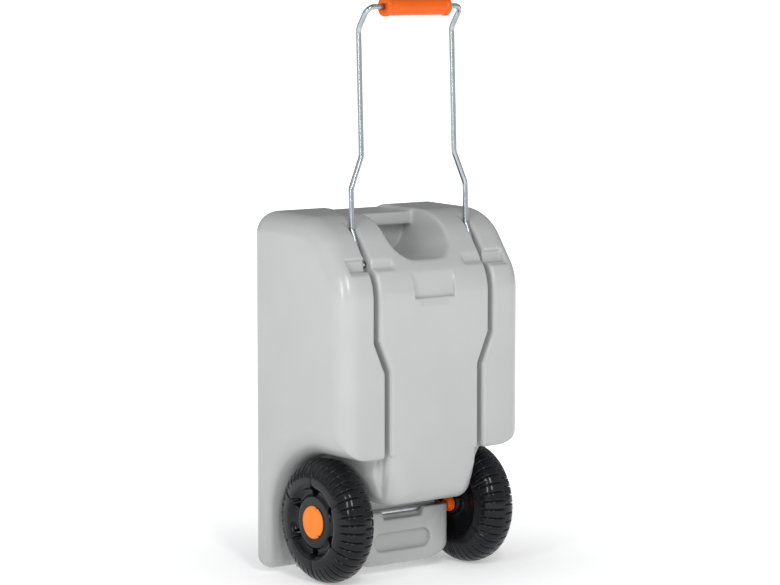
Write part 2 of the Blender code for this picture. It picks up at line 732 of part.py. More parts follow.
def well_cutter(name, cap, extra, group):
    """The round well that a cap sits in, grown by extra."""
    top = OUTSIDE
    outer = cap["well"] + extra
    mesh = bpy.data.meshes.new(name)
    shape = bmesh.new()
    bmesh.ops.create_cone(
        shape, cap_ends=True, segments=WELL_SIDES, radius1=outer,
        radius2=outer + WELL_DRAFT, depth=WELL_DEPTH + extra + top,
    )
    bmesh.ops.translate(shape, verts=shape.verts, vec=(0, 0, (top - WELL_DEPTH - extra) / 2))
    shape.to_mesh(mesh)
    shape.free()
    solid = as_cutter(new_object(name, mesh, group))
    solid.matrix_world = back_axis(cap["z"])
    return solid


def tank_body(finish, parts, cutters):
    """The blow-moulded tank: joined masses, hollowed, then cut and opened at its necks."""
    body = main_mass("tank_body", 0.0, parts)
    body.hide_render = False
    body.display_type = "TEXTURED"
    boolean(body, tongue_mass("tongue", 0.0, cutters), "UNION")
    boolean(body, chin_mass("chin", 0.0, cutters), "UNION")
    boolean(body, axle_wall_mass("axle_wall", 0.0, cutters), "UNION")
    boolean(body, trough_cutter("axle_trough", cutters), "DIFFERENCE")
    foot_back = BACK_Y - SLAB_BACK_RADIUS + FOOT_BEFORE_BACK
    foot_front = foot_back - FOOT_DEPTH
    foot = rounded_outline([
        (foot_front, 0.0, FOOT_EDGE_RADIUS),
        (foot_back, 0.0, FOOT_EDGE_RADIUS),
        (foot_back, TANK_UNDERSIDE + WALL / 2, 0.0),
        (foot_front, TANK_UNDERSIDE + WALL / 2, 0.0),
    ])
    foot_bar = prism(
        "foot_bar", foot, -FOOT_HALF_WIDTH, FOOT_HALF_WIDTH, SIDE_VIEW, cutters
    )
    boolean(body, foot_bar, "UNION")
    outside = groove_cutters(0.0, cutters, "cut_") + hand_cutters(0.0, cutters, "cut_")
    outside += front_panel_cutters(0.0, cutters, "cut_")
    outside += [well_cutter("cut_inlet_well", INLET, 0.0, cutters)]
    outside += [well_cutter("cut_drain_well", DRAIN, 0.0, cutters)]
    for cutter in outside:
        boolean(body, cutter, "DIFFERENCE")

    hollow = as_cutter(main_mass("hollow", WALL, cutters))
    boolean(hollow, tongue_mass("hollow_tongue", WALL, cutters), "UNION")
    boolean(hollow, chin_mass("hollow_chin", WALL, cutters), "UNION")
    boolean(hollow, axle_wall_mass("hollow_axle_wall", WALL, cutters), "UNION")
    inside = groove_cutters(WALL, cutters, "keep_") + hand_cutters(WALL, cutters, "keep_")
    inside += front_panel_cutters(WALL, cutters, "keep_")
    inside += [well_cutter("keep_inlet_well", INLET, WALL, cutters)]
    inside += [well_cutter("keep_drain_well", DRAIN, WALL, cutters)]
    for cutter in inside:
        boolean(hollow, cutter, "DIFFERENCE")
    boolean(body, hollow, "DIFFERENCE")

    for tag, cap in (("inlet", INLET), ("drain", DRAIN)):
        place = back_axis(cap["z"])
        outer = cap["bore"] + NECK_WALL
        rim = -WELL_DEPTH + NECK_HEIGHT
        neck = disc(tag + "_neck", outer, -WELL_DEPTH - WALL / 2, rim, place, cutters)
        boolean(body, neck, "UNION")
        bore = disc(
            tag + "_bore", cap["bore"], -WELL_DEPTH - 2 * WALL, rim + WALL, place, cutters
        )
        boolean(body, bore, "DIFFERENCE")
    body.data.materials.append(finish)
    return body


def tyre_arc(shrink_radius, shrink_side, steps):
    """Round section of the tyre from its outboard side to its inboard side."""
    points = []
    for step in range(-steps, steps + 1):
        turn = math.pi / 2 * step / steps
        out = abs(math.sin(turn)) ** (2 / TYRE_SQUARENESS) * (WHEEL_WIDTH / 2 - shrink_side)
        deep = (1 - math.cos(turn) ** (2 / TYRE_SQUARENESS)) * (TYRE_DEPTH - shrink_radius)
        points.append((WHEEL_RADIUS - shrink_radius - deep, math.copysign(out, -step)))
    return points


def wheel_section():
    """Outer skin of the wheel, outboard bore to inboard bore, as (radius, height)."""
    dish = HUB_DISH - WHEEL_WIDTH / 2
    return [
        (WHEEL_BORE, HUB_POCKET_FLOOR),
        (HUB_POCKET_RADIUS, HUB_POCKET_FLOOR),
        (HUB_POCKET_RADIUS, HUB_FACE_OUT),
        (HUB_DISC_RADIUS, HUB_FACE_OUT),
        (HUB_DISC_RADIUS + HUB_DISC_STEP, HUB_FACE_OUT - HUB_DISC_STEP),
        *tyre_arc(0.0, 0.0, TYRE_STEPS),
        (HUB_DISC_RADIUS, dish),
        (HUB_BOSS_RADIUS, dish),
        (HUB_BOSS_RADIUS, -BOSS_OUT),
        (WHEEL_BORE, -BOSS_OUT),
    ]


def wheel_hollow():
    """Inner skin of the wheel, inboard bore to outboard bore; the bush bridges its mouth."""
    wall = WHEEL_SHELL
    dish = HUB_DISH - WHEEL_WIDTH / 2 + wall
    return [
        (WHEEL_BORE, wall - BOSS_OUT),
        (HUB_BOSS_RADIUS - wall, wall - BOSS_OUT),
        (HUB_BOSS_RADIUS - wall, dish),
        (HUB_DISC_RADIUS, dish),
        *reversed(tyre_arc(TREAD_WALL, wall, TYRE_INNER_STEPS)),
        (HUB_DISC_RADIUS, HUB_FACE_OUT - wall - SIDE_RECESS_DEPTH),
        (HUB_POCKET_RADIUS + wall, HUB_FACE_OUT - wall),
        (HUB_POCKET_RADIUS + wall, HUB_POCKET_FLOOR - wall),
        (WHEEL_BORE, HUB_POCKET_FLOOR - wall),
    ]


def outboard_axis(side):
    """A frame at a wheel's centre whose Z axis points away from the tank."""
    centre = Matrix.Translation((side * WHEEL_X, AXLE_Y, AXLE_Z))
    return centre @ Matrix.Rotation(side * math.pi / 2, 4, "Y")


def wheel(tag, side, finish, parts, cutters):
    """A hollow wheel, with recesses round its hub."""
    place = outboard_axis(side)
    profile = wheel_section() + wheel_hollow()
    solid = turned("wheel_" + tag, profile, WHEEL_STEPS, place, finish, parts)
    for index in range(SIDE_RECESS_COUNT):
        angle = math.tau * index / SIDE_RECESS_COUNT
        spot = Matrix.Rotation(angle, 4, "Z") @ Matrix.Translation((SIDE_RECESS_CIRCLE, 0, 0))
        recess = disc(
            "recess_%s_%d" % (tag, index), SIDE_RECESS_RADIUS, HUB_FACE_OUT - SIDE_RECESS_DEPTH,
            HUB_FACE_OUT + OUTSIDE, place @ spot, cutters, sides=RECESS_SIDES,
        )
        boolean(solid, recess, "DIFFERENCE")
    return solid


def axle_set(tag, side, finishes, wheel_object, parts, cutters):
    """Bush, spacer, washer, push nut and hub cap of one wheel."""
    place = outboard_axis(side)
    inner = AXLE_RADIUS + RUN_GAP
    bush_radius = inner + BUSH_WALL
    low = -BOSS_OUT
    face = HUB_POCKET_FLOOR
    flange_top = face + SEAT_GAP + BUSH_FLANGE_THICKNESS
    bush = turned("wheel_bush_" + tag, [
        (bush_radius, low),
        (inner, low),
        (inner, flange_top),
        (bush_radius + BUSH_FLANGE, flange_top),
        (bush_radius + BUSH_FLANGE, face + SEAT_GAP),
        (bush_radius, face + SEAT_GAP),
    ], SMALL_SIDES, place, finishes["orange"], parts)
    hold(bush, wheel_object)

    spacer_top = low - SEAT_GAP
    spacer_low = spacer_top - SPACER_LENGTH
    spacer = turned("axle_spacer_" + tag, [
        (SPACER_NECK_RADIUS, spacer_low),
        (inner, spacer_low),
        (inner, spacer_top),
        (SPACER_RADIUS, spacer_top),
        (SPACER_RADIUS, spacer_low + SPACER_NECK_LENGTH),
    ], SMALL_SIDES, place, finishes["orange"], parts)

    washer_low = flange_top + SEAT_GAP
    washer_top = washer_low + WASHER_THICKNESS
    turned("axle_washer_" + tag, [
        (WASHER_RADIUS, washer_low),
        (inner, washer_low),
        (inner, washer_top),
        (WASHER_RADIUS, washer_top),
    ], SMALL_SIDES, place, finishes["steel"], parts)

    nut_low = washer_top + SEAT_GAP
    nut_top = nut_low + PUSH_NUT_HEIGHT
    turned("axle_push_nut_" + tag, [
        (PUSH_NUT_RADIUS, nut_low),
        (inner, nut_low),
        (inner, nut_top),
        (AXLE_RADIUS + PUSH_NUT_CROWN, nut_top),
        (PUSH_NUT_RADIUS, nut_low + PUSH_NUT_RIM),
    ], SMALL_SIDES, place, finishes["steel"], parts)

    cap_low = HUB_FACE_OUT + SEAT_GAP
    skirt = HUB_POCKET_RADIUS - SEAT_GAP
    cap = turned("hub_cap_" + tag, [
        (0.0, cap_low + HUB_CAP_DOME),
        (0.0, cap_low + HUB_CAP_DOME - HUB_CAP_WALL),
        (skirt - HUB_CAP_WALL, cap_low),
        (skirt - HUB_CAP_WALL, cap_low - HUB_CAP_SKIRT_LENGTH),
        (skirt, cap_low - HUB_CAP_SKIRT_LENGTH),
        (skirt, cap_low),
        (HUB_CAP_RADIUS, cap_low),
        (HUB_CAP_RADIUS, cap_low + HUB_CAP_EDGE),
        (HUB_CAP_RADIUS / 2, cap_low + HUB_CAP_DOME),
    ], WHEEL_STEPS, place, finishes["orange"], parts)
    for index in range(HUB_CAP_NOTCHES):
        angle = HUB_CAP_TURN + math.tau * index / HUB_CAP_NOTCHES
        spot = Matrix.Rotation(angle, 4, "Z") @ Matrix.Translation((HUB_CAP_RADIUS, 0, 0))
        notch = disc(
            "notch_%s_%d" % (tag, index), HUB_CAP_NOTCH_RADIUS, cap_low - CUT_PAST,
            cap_low + OUTSIDE, place @ spot, cutters, sides=NOTCH_SIDES,
        )
        boolean(cap, notch, "DIFFERENCE")
    hold(cap, wheel_object)
    return spacer, nut_top


def axle(end, finish, parts):
    """The plain steel rod that both wheels turn on."""
    reach = WHEEL_X + end
    mesh = bpy.data.meshes.new("axle")
    shape = bmesh.new()
    bmesh.ops.create_cone(
        shape, cap_ends=True, segments=SMALL_SIDES, radius1=AXLE_RADIUS, radius2=AXLE_RADIUS,
        depth=2 * reach,
    )
    shape.to_mesh(mesh)
    shape.free()
    mesh.materials.append(finish)
    rod = new_object("axle", mesh, parts)
    rod.matrix_world = Matrix.Translation((0, AXLE_Y, AXLE_Z)) @ Matrix.Rotation(
        math.pi / 2, 4, "Y"
    )
    return rod


def bent_path(corners):
    """Round the corners of a wire's route: each corner is (point, bend radius)."""
    points = [Vector(corners[0][0])]
    for index in range(1, len(corners) - 1):
        here, radius = Vector(corners[index][0]), corners[index][1]
        way_in = (here - Vector(corners[index - 1][0])).normalized()
        way_out = (Vector(corners[index + 1][0]) - here).normalized()
        turn = way_in.angle(way_out)
        start = here - way_in * (radius * math.tan(turn / 2))
        axis = way_in.cross(way_out).normalized()
        centre = start + axis.cross(way_in) * radius
        steps = max(1, math.ceil(turn / ARC_STEP))
        for step in range(steps + 1):
            spoke = Matrix.Rotation(turn * step / steps, 3, axis) @ (start - centre)
            points.append(centre + spoke)
    points.append(Vector(corners[-1][0]))
    return points


def bail_corners():
    """Right half of the bail from its pin to the grip, about the pivot."""

    def leg_y(up):
        return KNEE_BACK + (up - KNEE_UP) * math.tan(LEG_LEAN)

    top_y = leg_y(NECK_BEND_UP) - TOP_FORWARD
    return [
        ((PIN_INNER_X, 0.0, 0.0), 0.0),
        ((LEG_X, 0.0, 0.0), PIN_BEND),
        ((LEG_X, KNEE_BACK, KNEE_UP), LEG_BEND),
        ((LEG_X, leg_y(KINK_LOW), KINK_LOW), LEG_BEND),
        ((UPPER_LEG_X, leg_y(KINK_HIGH), KINK_HIGH), LEG_BEND),
        ((UPPER_LEG_X, leg_y(NECK_BEND_UP), NECK_BEND_UP), LEG_BEND),
        ((UPPER_LEG_X, top_y, TOP_UP), TOP_BEND),
    ]


def bail(finish, parts):
    """The bent steel wire, turned about the axis of its two pins."""
    right = bail_corners()
    left = [((-point[0], point[1], point[2]), radius) for point, radius in reversed(right)]
    path = bent_path(right + left)
    curve = bpy.data.curves.new("handle_bail", "CURVE")
    curve.dimensions = "3D"
    curve.bevel_depth = WIRE_RADIUS
    curve.bevel_resolution = WIRE_FACET_LEVEL
    curve.use_fill_caps = True
    spline = curve.splines.new("POLY")
    spline.points.add(len(path) - 1)
    for point, place in zip(spline.points, path):
        point.co = (*place, 1.0)
    wire = new_object("handle_bail", curve, parts)
    curve.materials.append(finish)
    wire.location = (0, PIVOT_Y, PIVOT_Z)
    return wire


def grip(wire, finish, parts):
    """The hand grip, a sleeve that turns on the top of the bail."""
    top = bail_corners()[-1][0]
    centre = Vector((0, PIVOT_Y + top[1], PIVOT_Z + top[2]))
    place = Matrix.Translation(centre) @ Matrix.Rotation(math.pi / 2, 4, "Y")
    end = GRIP_LENGTH / 2
    collar = end - GRIP_COLLAR_LENGTH
    inner = WIRE_RADIUS + RUN_GAP
    half = [
        (inner, end),
        (GRIP_COLLAR_RADIUS - GRIP_EDGE, end),
        (GRIP_COLLAR_RADIUS, end - GRIP_EDGE),
        (GRIP_COLLAR_RADIUS, collar),
        (GRIP_RADIUS, collar - GRIP_COLLAR_RAMP),
    ]
    profile = half + [(radius, -height) for radius, height in reversed(half)]
    sleeve = turned("handle_grip", profile, SMALL_SIDES, place, finish, parts)
    hold(sleeve, wire)
    return sleeve


def screw_cap(tag, cap, finishes, parts, cutters):
    """A cap and its gasket on one neck."""
    rim = -WELL_DEPTH + NECK_HEIGHT
    gasket_low = rim + SEAT_GAP
    gasket_top = gasket_low + GASKET_THICKNESS
    neck_outer = cap["bore"] + NECK_WALL
    gasket = turned(tag + "_gasket", [
        (cap["bore"], gasket_low),
        (cap["bore"], gasket_top),
        (neck_outer, gasket_top),
        (neck_outer, gasket_low),
    ], SMALL_SIDES, back_axis(cap["z"]), finishes["rubber"], parts)
    under = gasket_top + SEAT_GAP
    top = under + CAP_TOP_THICKNESS
    inner = neck_outer + CAP_SKIRT_CLEARANCE
    low = -WELL_DEPTH + CAP_SKIRT_GAP
    solid = turned(tag + "_cap", [
        (0.0, under),
        (inner, under),
        (inner, low),
        (cap["cap"], low),
        (cap["cap"], top - CAP_EDGE),
        (cap["cap"] - CAP_EDGE, top),
        (0.0, top),
    ], WHEEL_STEPS, back_axis(cap["z"]), finishes["cap"], parts)
    for index in range(cap["flutes"]):
        angle = math.tau * index / cap["flutes"]
        spot = Matrix.Rotation(angle, 4, "Z") @ Matrix.Translation((cap["cap"], 0, 0))
        flute = disc(
            "flute_%s_%d" % (tag, index), CAP_FLUTE_RADIUS, low - CUT_PAST, top + CUT_PAST,
            back_axis(cap["z"]) @ spot, cutters, sides=FLUTE_SIDES,
        )
        boolean(solid, flute, "DIFFERENCE")
    hold(solid, gasket)
    return solid


def build():
    """Make every piece of the tank."""
    for thing in list(bpy.data.objects):
        bpy.data.objects.remove(thing)
    parts = collection(PART_NAME)
    cutters = collection("cutters")
    finishes = {
        "grey": material("grey_polyethylene", (0.54, 0.56, 0.55), 0.42),
        "orange": material("orange_plastic", (0.84, 0.17, 0.02), 0.38),
        "black": material("black_polyethylene", (0.018, 0.019, 0.021), 0.30),
        "zinc": material("zinc_plated_wire", (0.62, 0.66, 0.68), 0.26, 1.0),
        "steel": material("zinc_plated_steel", (0.58, 0.60, 0.62), 0.34, 1.0),
        "rubber": material("black_rubber", (0.02, 0.02, 0.02), 0.70),
        "cap": material("black_cap_plastic", (0.025, 0.026, 0.028), 0.40),
    }
    tank_body(finishes["grey"], parts, cutters)
    end = 0.0
    for tag, side in (("left", -1), ("right", 1)):
        wheel_object = wheel(tag, side, finishes["black"], parts, cutters)
        spacer, nut_top = axle_set(tag, side, finishes, wheel_object, parts, cutters)
        end = nut_top + AXLE_END_PAST_NUT
    axle(end, finishes["steel"], parts)
    wire = bail(finishes["zinc"], parts)
    grip(wire, finishes["orange"], parts)
    screw_cap("inlet", INLET, finishes, parts, cutters)
    screw_cap("drain", DRAIN, finishes, parts, cutters)


build()
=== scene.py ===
# %% [markdown]
# # A wheeled waste water tank
#
# The imported CAD model is the frame of this scene. It says where every piece sits and what moves
# with what. The looks are built round it, in metres and in the
# same places: X runs along the axle, the grooved front faces -Y, and Z is up.

# %% Load the frame
import math

import bmesh
import bpy
import numpy as np
from mathutils import Matrix, Vector
from mathutils.kdtree import KDTree


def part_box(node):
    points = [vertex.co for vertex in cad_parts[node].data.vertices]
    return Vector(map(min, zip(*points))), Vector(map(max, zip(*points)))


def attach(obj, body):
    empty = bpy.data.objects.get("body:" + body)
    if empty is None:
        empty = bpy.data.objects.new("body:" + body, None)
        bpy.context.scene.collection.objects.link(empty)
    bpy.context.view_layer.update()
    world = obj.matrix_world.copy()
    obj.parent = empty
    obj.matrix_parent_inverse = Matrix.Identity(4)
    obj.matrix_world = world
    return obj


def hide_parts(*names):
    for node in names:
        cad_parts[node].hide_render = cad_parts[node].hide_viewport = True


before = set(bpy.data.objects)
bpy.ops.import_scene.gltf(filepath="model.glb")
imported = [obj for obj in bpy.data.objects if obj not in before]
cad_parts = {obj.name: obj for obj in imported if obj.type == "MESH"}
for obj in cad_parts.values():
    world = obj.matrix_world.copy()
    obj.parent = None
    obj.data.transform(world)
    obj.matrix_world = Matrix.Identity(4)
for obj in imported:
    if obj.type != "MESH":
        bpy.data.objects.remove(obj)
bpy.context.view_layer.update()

print("nodes:", len(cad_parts))

# %% [markdown]
# ## The camera
#
# The photograph was taken from the left of the front, a little above the tank, through a long
# lens. The view is nearly level, so upright edges stay upright. The camera stands about four and
# a half metres away and looks down by six degrees, which needs no lens shift, so every other view
# is centred too.

# %% Camera
PHOTO_WIDTH = 780
CAMERA_PLACE = Vector((-2.74031, -3.48575, 0.89517))
CAMERA_TURN = math.radians(38.19)
CAMERA_DIP = math.radians(6.217)
FOCAL_PIXELS = 3038.45

lens = bpy.data.cameras.new("photo_camera")
lens.sensor_width = 36.0
lens.lens = FOCAL_PIXELS / PHOTO_WIDTH * lens.sensor_width
camera = bpy.data.objects.new("photo_camera", lens)
camera.location = CAMERA_PLACE
camera.rotation_euler = (math.pi / 2 - CAMERA_DIP, 0.0, -CAMERA_TURN)
bpy.context.scene.collection.objects.link(camera)
bpy.context.scene.camera = camera
print("lens %.1f mm" % lens.lens)

# %% [markdown]
# ## Floor and light
#
# The photograph is a studio picture on white. A pale floor glows a little more away from the tank.
# Its glow is painted light that lights the tank from below, and where it is dimmer near the tank it
# paints a shadow round the tank's foot. Together with a bright surround that is dimmer overhead and
# behind, it gives the same flat grey on the front and on the side. Every round edge in the
# photograph shows two bright bars side by side, on the tyres too, so two tall narrow lights stand
# in front of the tank and to its left.

# %% Floor
FLOOR_SIZE = 120.0
scene = bpy.context.scene
scene.view_settings.view_transform = "Standard"


def shader_material(name):
    """A material with its Principled shader and its node tree, ready for more nodes."""
    material = bpy.data.materials.new(name)
    material.use_nodes = True
    tree = material.node_tree
    return material, tree, tree.nodes["Principled BSDF"]


def set_inputs(node, **values):
    """Set inputs of a node by name, with underscores for spaces."""
    for name, value in values.items():
        node.inputs[name.replace("_", " ")].default_value = value


shape = bmesh.new()
bmesh.ops.create_grid(shape, x_segments=1, y_segments=1, size=FLOOR_SIZE / 2)
floor_mesh = bpy.data.meshes.new("floor")
shape.to_mesh(floor_mesh)
shape.free()
floor = bpy.data.objects.new("floor", floor_mesh)
scene.collection.objects.link(floor)
floor_finish, floor_tree, floor_shader = shader_material("pale_floor")
set_inputs(floor_shader, Base_Color=(0.93, 0.93, 0.93, 1.0), Emission_Color=(1.0, 1.0, 1.0, 1.0))
set_inputs(floor_shader, Roughness=0.9, Specular_IOR_Level=0.2)
# Painted light: the floor's emission grows with distance from the tank, so it is dim near the tank
# as a painted shadow and lights the tank from below.
spot = floor_tree.nodes.new("ShaderNodeTexCoord")
away = floor_tree.nodes.new("ShaderNodeVectorMath")
away.operation = "LENGTH"
painted_floor_glow = floor_tree.nodes.new("ShaderNodeMapRange")
set_inputs(painted_floor_glow, From_Min=0.15, From_Max=1.0, To_Min=0.34, To_Max=0.95)
floor_tree.links.new(spot.outputs["Object"], away.inputs[0])
floor_tree.links.new(away.outputs["Value"], painted_floor_glow.inputs["Value"])
floor_tree.links.new(painted_floor_glow.outputs["Result"], floor_shader.inputs["Emission Strength"])
floor_mesh.materials.append(floor_finish)
print("floor: %.0f m" % FLOOR_SIZE)

# %% Surround
surround = bpy.data.worlds.new("studio_surround")
surround.use_nodes = True
scene.world = surround
nodes, links = surround.node_tree.nodes, surround.node_tree.links
backdrop = nodes["Background"]
direction = nodes.new("ShaderNodeTexCoord")
height = nodes.new("ShaderNodeSeparateXYZ")
fade = nodes.new("ShaderNodeValToRGB")
fade.color_ramp.elements.new(0.55)
for stop, place, tone in zip(
    fade.color_ramp.elements, (0.1, 0.55, 1.0),
    ((0.54, 0.54, 0.54), (0.84, 0.85, 0.855), (0.10, 0.12, 0.13)),
):
    stop.position, stop.color = place, (*tone, 1.0)
behind = nodes.new("ShaderNodeVectorMath")
behind.operation = "DOT_PRODUCT"
behind.inputs[1].default_value = (0.62, 0.78, 0.0)
dim = nodes.new("ShaderNodeMapRange")
set_inputs(dim, To_Min=1.0, To_Max=0.25)
shaded = nodes.new("ShaderNodeVectorMath")
shaded.operation = "SCALE"
links.new(direction.outputs["Generated"], height.inputs[0])
links.new(direction.outputs["Generated"], behind.inputs[0])
links.new(behind.outputs["Value"], dim.inputs["Value"])
links.new(height.outputs["Z"], fade.inputs["Fac"])
links.new(fade.outputs["Color"], shaded.inputs[0])
links.new(dim.outputs["Result"], shaded.inputs["Scale"])
links.new(shaded.outputs["Vector"], backdrop.inputs["Color"])
set_inputs(backdrop, Strength=1.0)
print("surround:", len(nodes), "nodes")

# %% Strip lights


def strip_light(name, turn, height, power):
    """A tall studio light, turned about the tank from straight in front, towards the left."""
    data = bpy.data.lights.new(name, "AREA")
    data.shape = "RECTANGLE"
    data.size, data.size_y = 0.30, 1.1
    data.energy = power
    light = bpy.data.objects.new(name, data)
    middle = Vector((0.0, 0.0, 0.3))
    away = Vector((-math.sin(turn), -math.cos(turn), math.tan(height))).normalized()
    light.location = middle + away * 2.6
    light.rotation_euler = (-away).to_track_quat("-Z", "Y").to_euler()
    scene.collection.objects.link(light)


strip_light("front_strip", math.radians(27), math.radians(32), 17.5)
strip_light("side_strip", math.radians(62), math.radians(18), 13.0)
print("lights:", len(bpy.data.lights))

# %% [markdown]
# ## Finishes
#
# Almost everything here is moulded plastic. What tells one plastic from another is its gloss and
# the fine unevenness of its skin, so one helper makes them all: a slow change of colour, a slow
# change of gloss, and two sizes of bump, the soft waves that cooling leaves and the grain of the
# mould. All of it reads Object coordinates, so the pattern stays fixed to the piece.

# %% Patterns for finishes


def noise(tree, scale, detail=3.0, roughness=0.5, stretch=None):
    """A noise texture in Object coordinates, with features of about 1 / scale metres."""
    place = tree.nodes.new("ShaderNodeTexCoord")
    texture = tree.nodes.new("ShaderNodeTexNoise")
    set_inputs(texture, Scale=scale, Detail=detail, Roughness=roughness)
    source = place.outputs["Object"]
    if stretch:
        mapping = tree.nodes.new("ShaderNodeMapping")
        set_inputs(mapping, Scale=stretch)
        tree.links.new(source, mapping.inputs["Vector"])
        source = mapping.outputs["Vector"]
    tree.links.new(source, texture.inputs["Vector"])
    return texture.outputs["Fac"]


def spread(tree, source, low, high):
    """Map a noise value from the middle of its range to a range from low to high."""
    mapped = tree.nodes.new("ShaderNodeMapRange")
    set_inputs(mapped, From_Min=0.3, From_Max=0.7, To_Min=low, To_Max=high)
    tree.links.new(source, mapped.inputs["Value"])
    return mapped.outputs["Result"]


def bump(tree, source, depth, before=None):
    """Turn a value into a bump of a depth in metres, on top of an earlier one."""
    raised = tree.nodes.new("ShaderNodeBump")
    set_inputs(raised, Strength=1.0, Distance=depth)
    tree.links.new(source, raised.inputs["Height"])
    if before:
        tree.links.new(before, raised.inputs["Normal"])
    return raised.outputs["Normal"]


def two_tone(tree, source, dark, light):
    """A colour that wanders between two close tones."""
    ramp = tree.nodes.new("ShaderNodeValToRGB")
    for stop, place, tone in zip(ramp.color_ramp.elements, (0.35, 0.65), (dark, light)):
        stop.position, stop.color = place, (*tone, 1.0)
    tree.links.new(source, ramp.inputs["Fac"])
    return ramp.outputs["Color"]


# %% Plastic and metal


def moulded_plastic(name, dark, light, gloss, waves, grain):
    """Moulded plastic. Gloss is its lowest and highest roughness; waves and grain are each
    (scale, depth in metres)."""
    material, tree, shader = shader_material(name)
    link = tree.links.new
    link(two_tone(tree, noise(tree, 9.0, 4.0), dark, light), shader.inputs["Base Color"])
    link(spread(tree, noise(tree, 25.0, 5.0), *gloss), shader.inputs["Roughness"])
    wavy = bump(tree, noise(tree, waves[0], 2.0), waves[1])
    link(bump(tree, noise(tree, grain[0], 2.0), grain[1], wavy), shader.inputs["Normal"])
    return material


def metal(name, dark, light, gloss, drawn):
    """Bright metal with the fine lines of drawing along it, stretched by drawn."""
    material, tree, shader = shader_material(name)
    link = tree.links.new
    set_inputs(shader, Metallic=1.0)
    link(two_tone(tree, noise(tree, 60.0, 4.0), dark, light), shader.inputs["Base Color"])
    link(spread(tree, noise(tree, 300.0, 4.0), *gloss), shader.inputs["Roughness"])
    lines = noise(tree, 900.0, 3.0, stretch=drawn)
    link(bump(tree, lines, 0.000002), shader.inputs["Normal"])
    return material


# %% The finishes
GREY = moulded_plastic(
    "grey_polyethylene_skin", (0.412, 0.417, 0.414), (0.430, 0.435, 0.432), (0.21, 0.265),
    (16.0, 0.00035), (1400.0, 0.000006),
)
HARD_SKIN = (80.0, 0.00008), (1800.0, 0.00001)
ORANGE = moulded_plastic(
    "orange_moulded", (0.66, 0.094, 0.001), (0.71, 0.110, 0.002), (0.28, 0.36), *HARD_SKIN
)
# The hub caps' orange is a lighter copy of the orange plastic, painted light for the light that
# falls on the caps' faces.
PAINTED_LIGHT_ORANGE = moulded_plastic(
    "painted_light_orange_moulded", (0.92, 0.212, 0.016), (0.95, 0.238, 0.024), (0.30, 0.40),
    *HARD_SKIN,
)
# The spacers' orange is a brighter copy of the orange plastic, painted light so that the spacer in
# shade looks as bright as a lit one.
SPACER_ORANGE_PAINTED_LIT = moulded_plastic(
    "spacer_orange_painted_light_moulded", (0.98, 0.125, 0.001), (1.00, 0.140, 0.002), (0.28, 0.36),
    *HARD_SKIN,
)
BLACK = moulded_plastic(
    "black_blow_moulded", (0.0055, 0.0058, 0.0072), (0.0085, 0.0090, 0.0110), (0.11, 0.17),
    (40.0, 0.00016), (1500.0, 0.000006),
)
for finish in (BLACK, ORANGE, PAINTED_LIGHT_ORANGE):
    set_inputs(finish.node_tree.nodes["Principled BSDF"], Specular_IOR_Level=0.24)
CAP_BLACK = moulded_plastic(
    "black_cap_moulded", (0.018, 0.018, 0.019), (0.028, 0.028, 0.030), (0.34, 0.46),
    (60.0, 0.00006), (1200.0, 0.00003),
)
RUBBER = moulded_plastic(
    "black_gasket_rubber", (0.014, 0.014, 0.014), (0.022, 0.022, 0.022), (0.62, 0.75),
    (90.0, 0.00005), (900.0, 0.00003),
)
ZINC_WIRE = metal(
    "zinc_plated_wire", (0.33, 0.365, 0.38), (0.38, 0.415, 0.43), (0.20, 0.26), (1.0, 1.0, 0.03)
)
ZINC_STEEL = metal(
    "zinc_plated_steel", (0.55, 0.57, 0.58), (0.70, 0.72, 0.73), (0.28, 0.38), (0.03, 1.0, 1.0)
)
print("finishes:", len(bpy.data.materials))

# %% [markdown]
# ## Putting a piece in
#
# Each piece is made as a mesh in its final place. One helper links it, shades it smooth, gives it
# its finish, puts it on the body it rides on, and hides the CAD nodes it stands for.

# %% Finish a piece
TRIANGLES = {}


def vertex_values(mesh, name):
    """One value of every vertex of a mesh, its place or its normal, as rows of an array."""
    values = np.empty(len(mesh.vertices) * 3)
    mesh.vertices.foreach_get(name, values)
    return values.reshape(-1, 3)


def finish_piece(name, mesh, material, body, slot, *nodes):
    """Link a mesh as a piece of the object, and print how large it is."""
    piece = bpy.data.objects.new(name, mesh)
    scene.collection.objects.link(piece)
    mesh.materials.clear()
    mesh.materials.append(material)
    mesh.shade_smooth()
    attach(piece, body)
    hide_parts(*nodes)
    TRIANGLES[name] = sum(len(face.vertices) - 2 for face in mesh.polygons)
    size = 1000 * np.ptp(vertex_values(mesh, "co"), axis=0)
    print("%s: %d triangles, %.1f x %.1f x %.1f mm" % (name, TRIANGLES[name], *size))
    return piece


def to_mesh(shape, name):
    """End a bmesh: merge what lies together, face it outwards, and hand over its mesh."""
    bmesh.ops.remove_doubles(shape, verts=shape.verts, dist=1e-6)
    bmesh.ops.recalc_face_normals(shape, faces=shape.faces)
    mesh = bpy.data.meshes.new(name)
    shape.to_mesh(mesh)
    shape.free()
    return mesh


# %% Lathe shapes


def spun(section, steps, centre, axis, across):
    """Spin a closed section of (radius, height) about an axis through a centre.

    across is the direction in which the radius is laid out before the spin.
    """
    centre, axis, across = Vector(centre), Vector(axis), Vector(across)
    shape = bmesh.new()
    ring = [shape.verts.new(centre + across * r + axis * h) for r, h in section]
    edges = [shape.edges.new((a, b)) for a, b in zip(ring, ring[1:] + ring[:1])]
    bmesh.ops.spin(
        shape, geom=ring + edges, cent=centre, axis=axis, angle=math.tau, steps=steps,
        use_merge=True, use_duplicate=False,
    )
    return shape


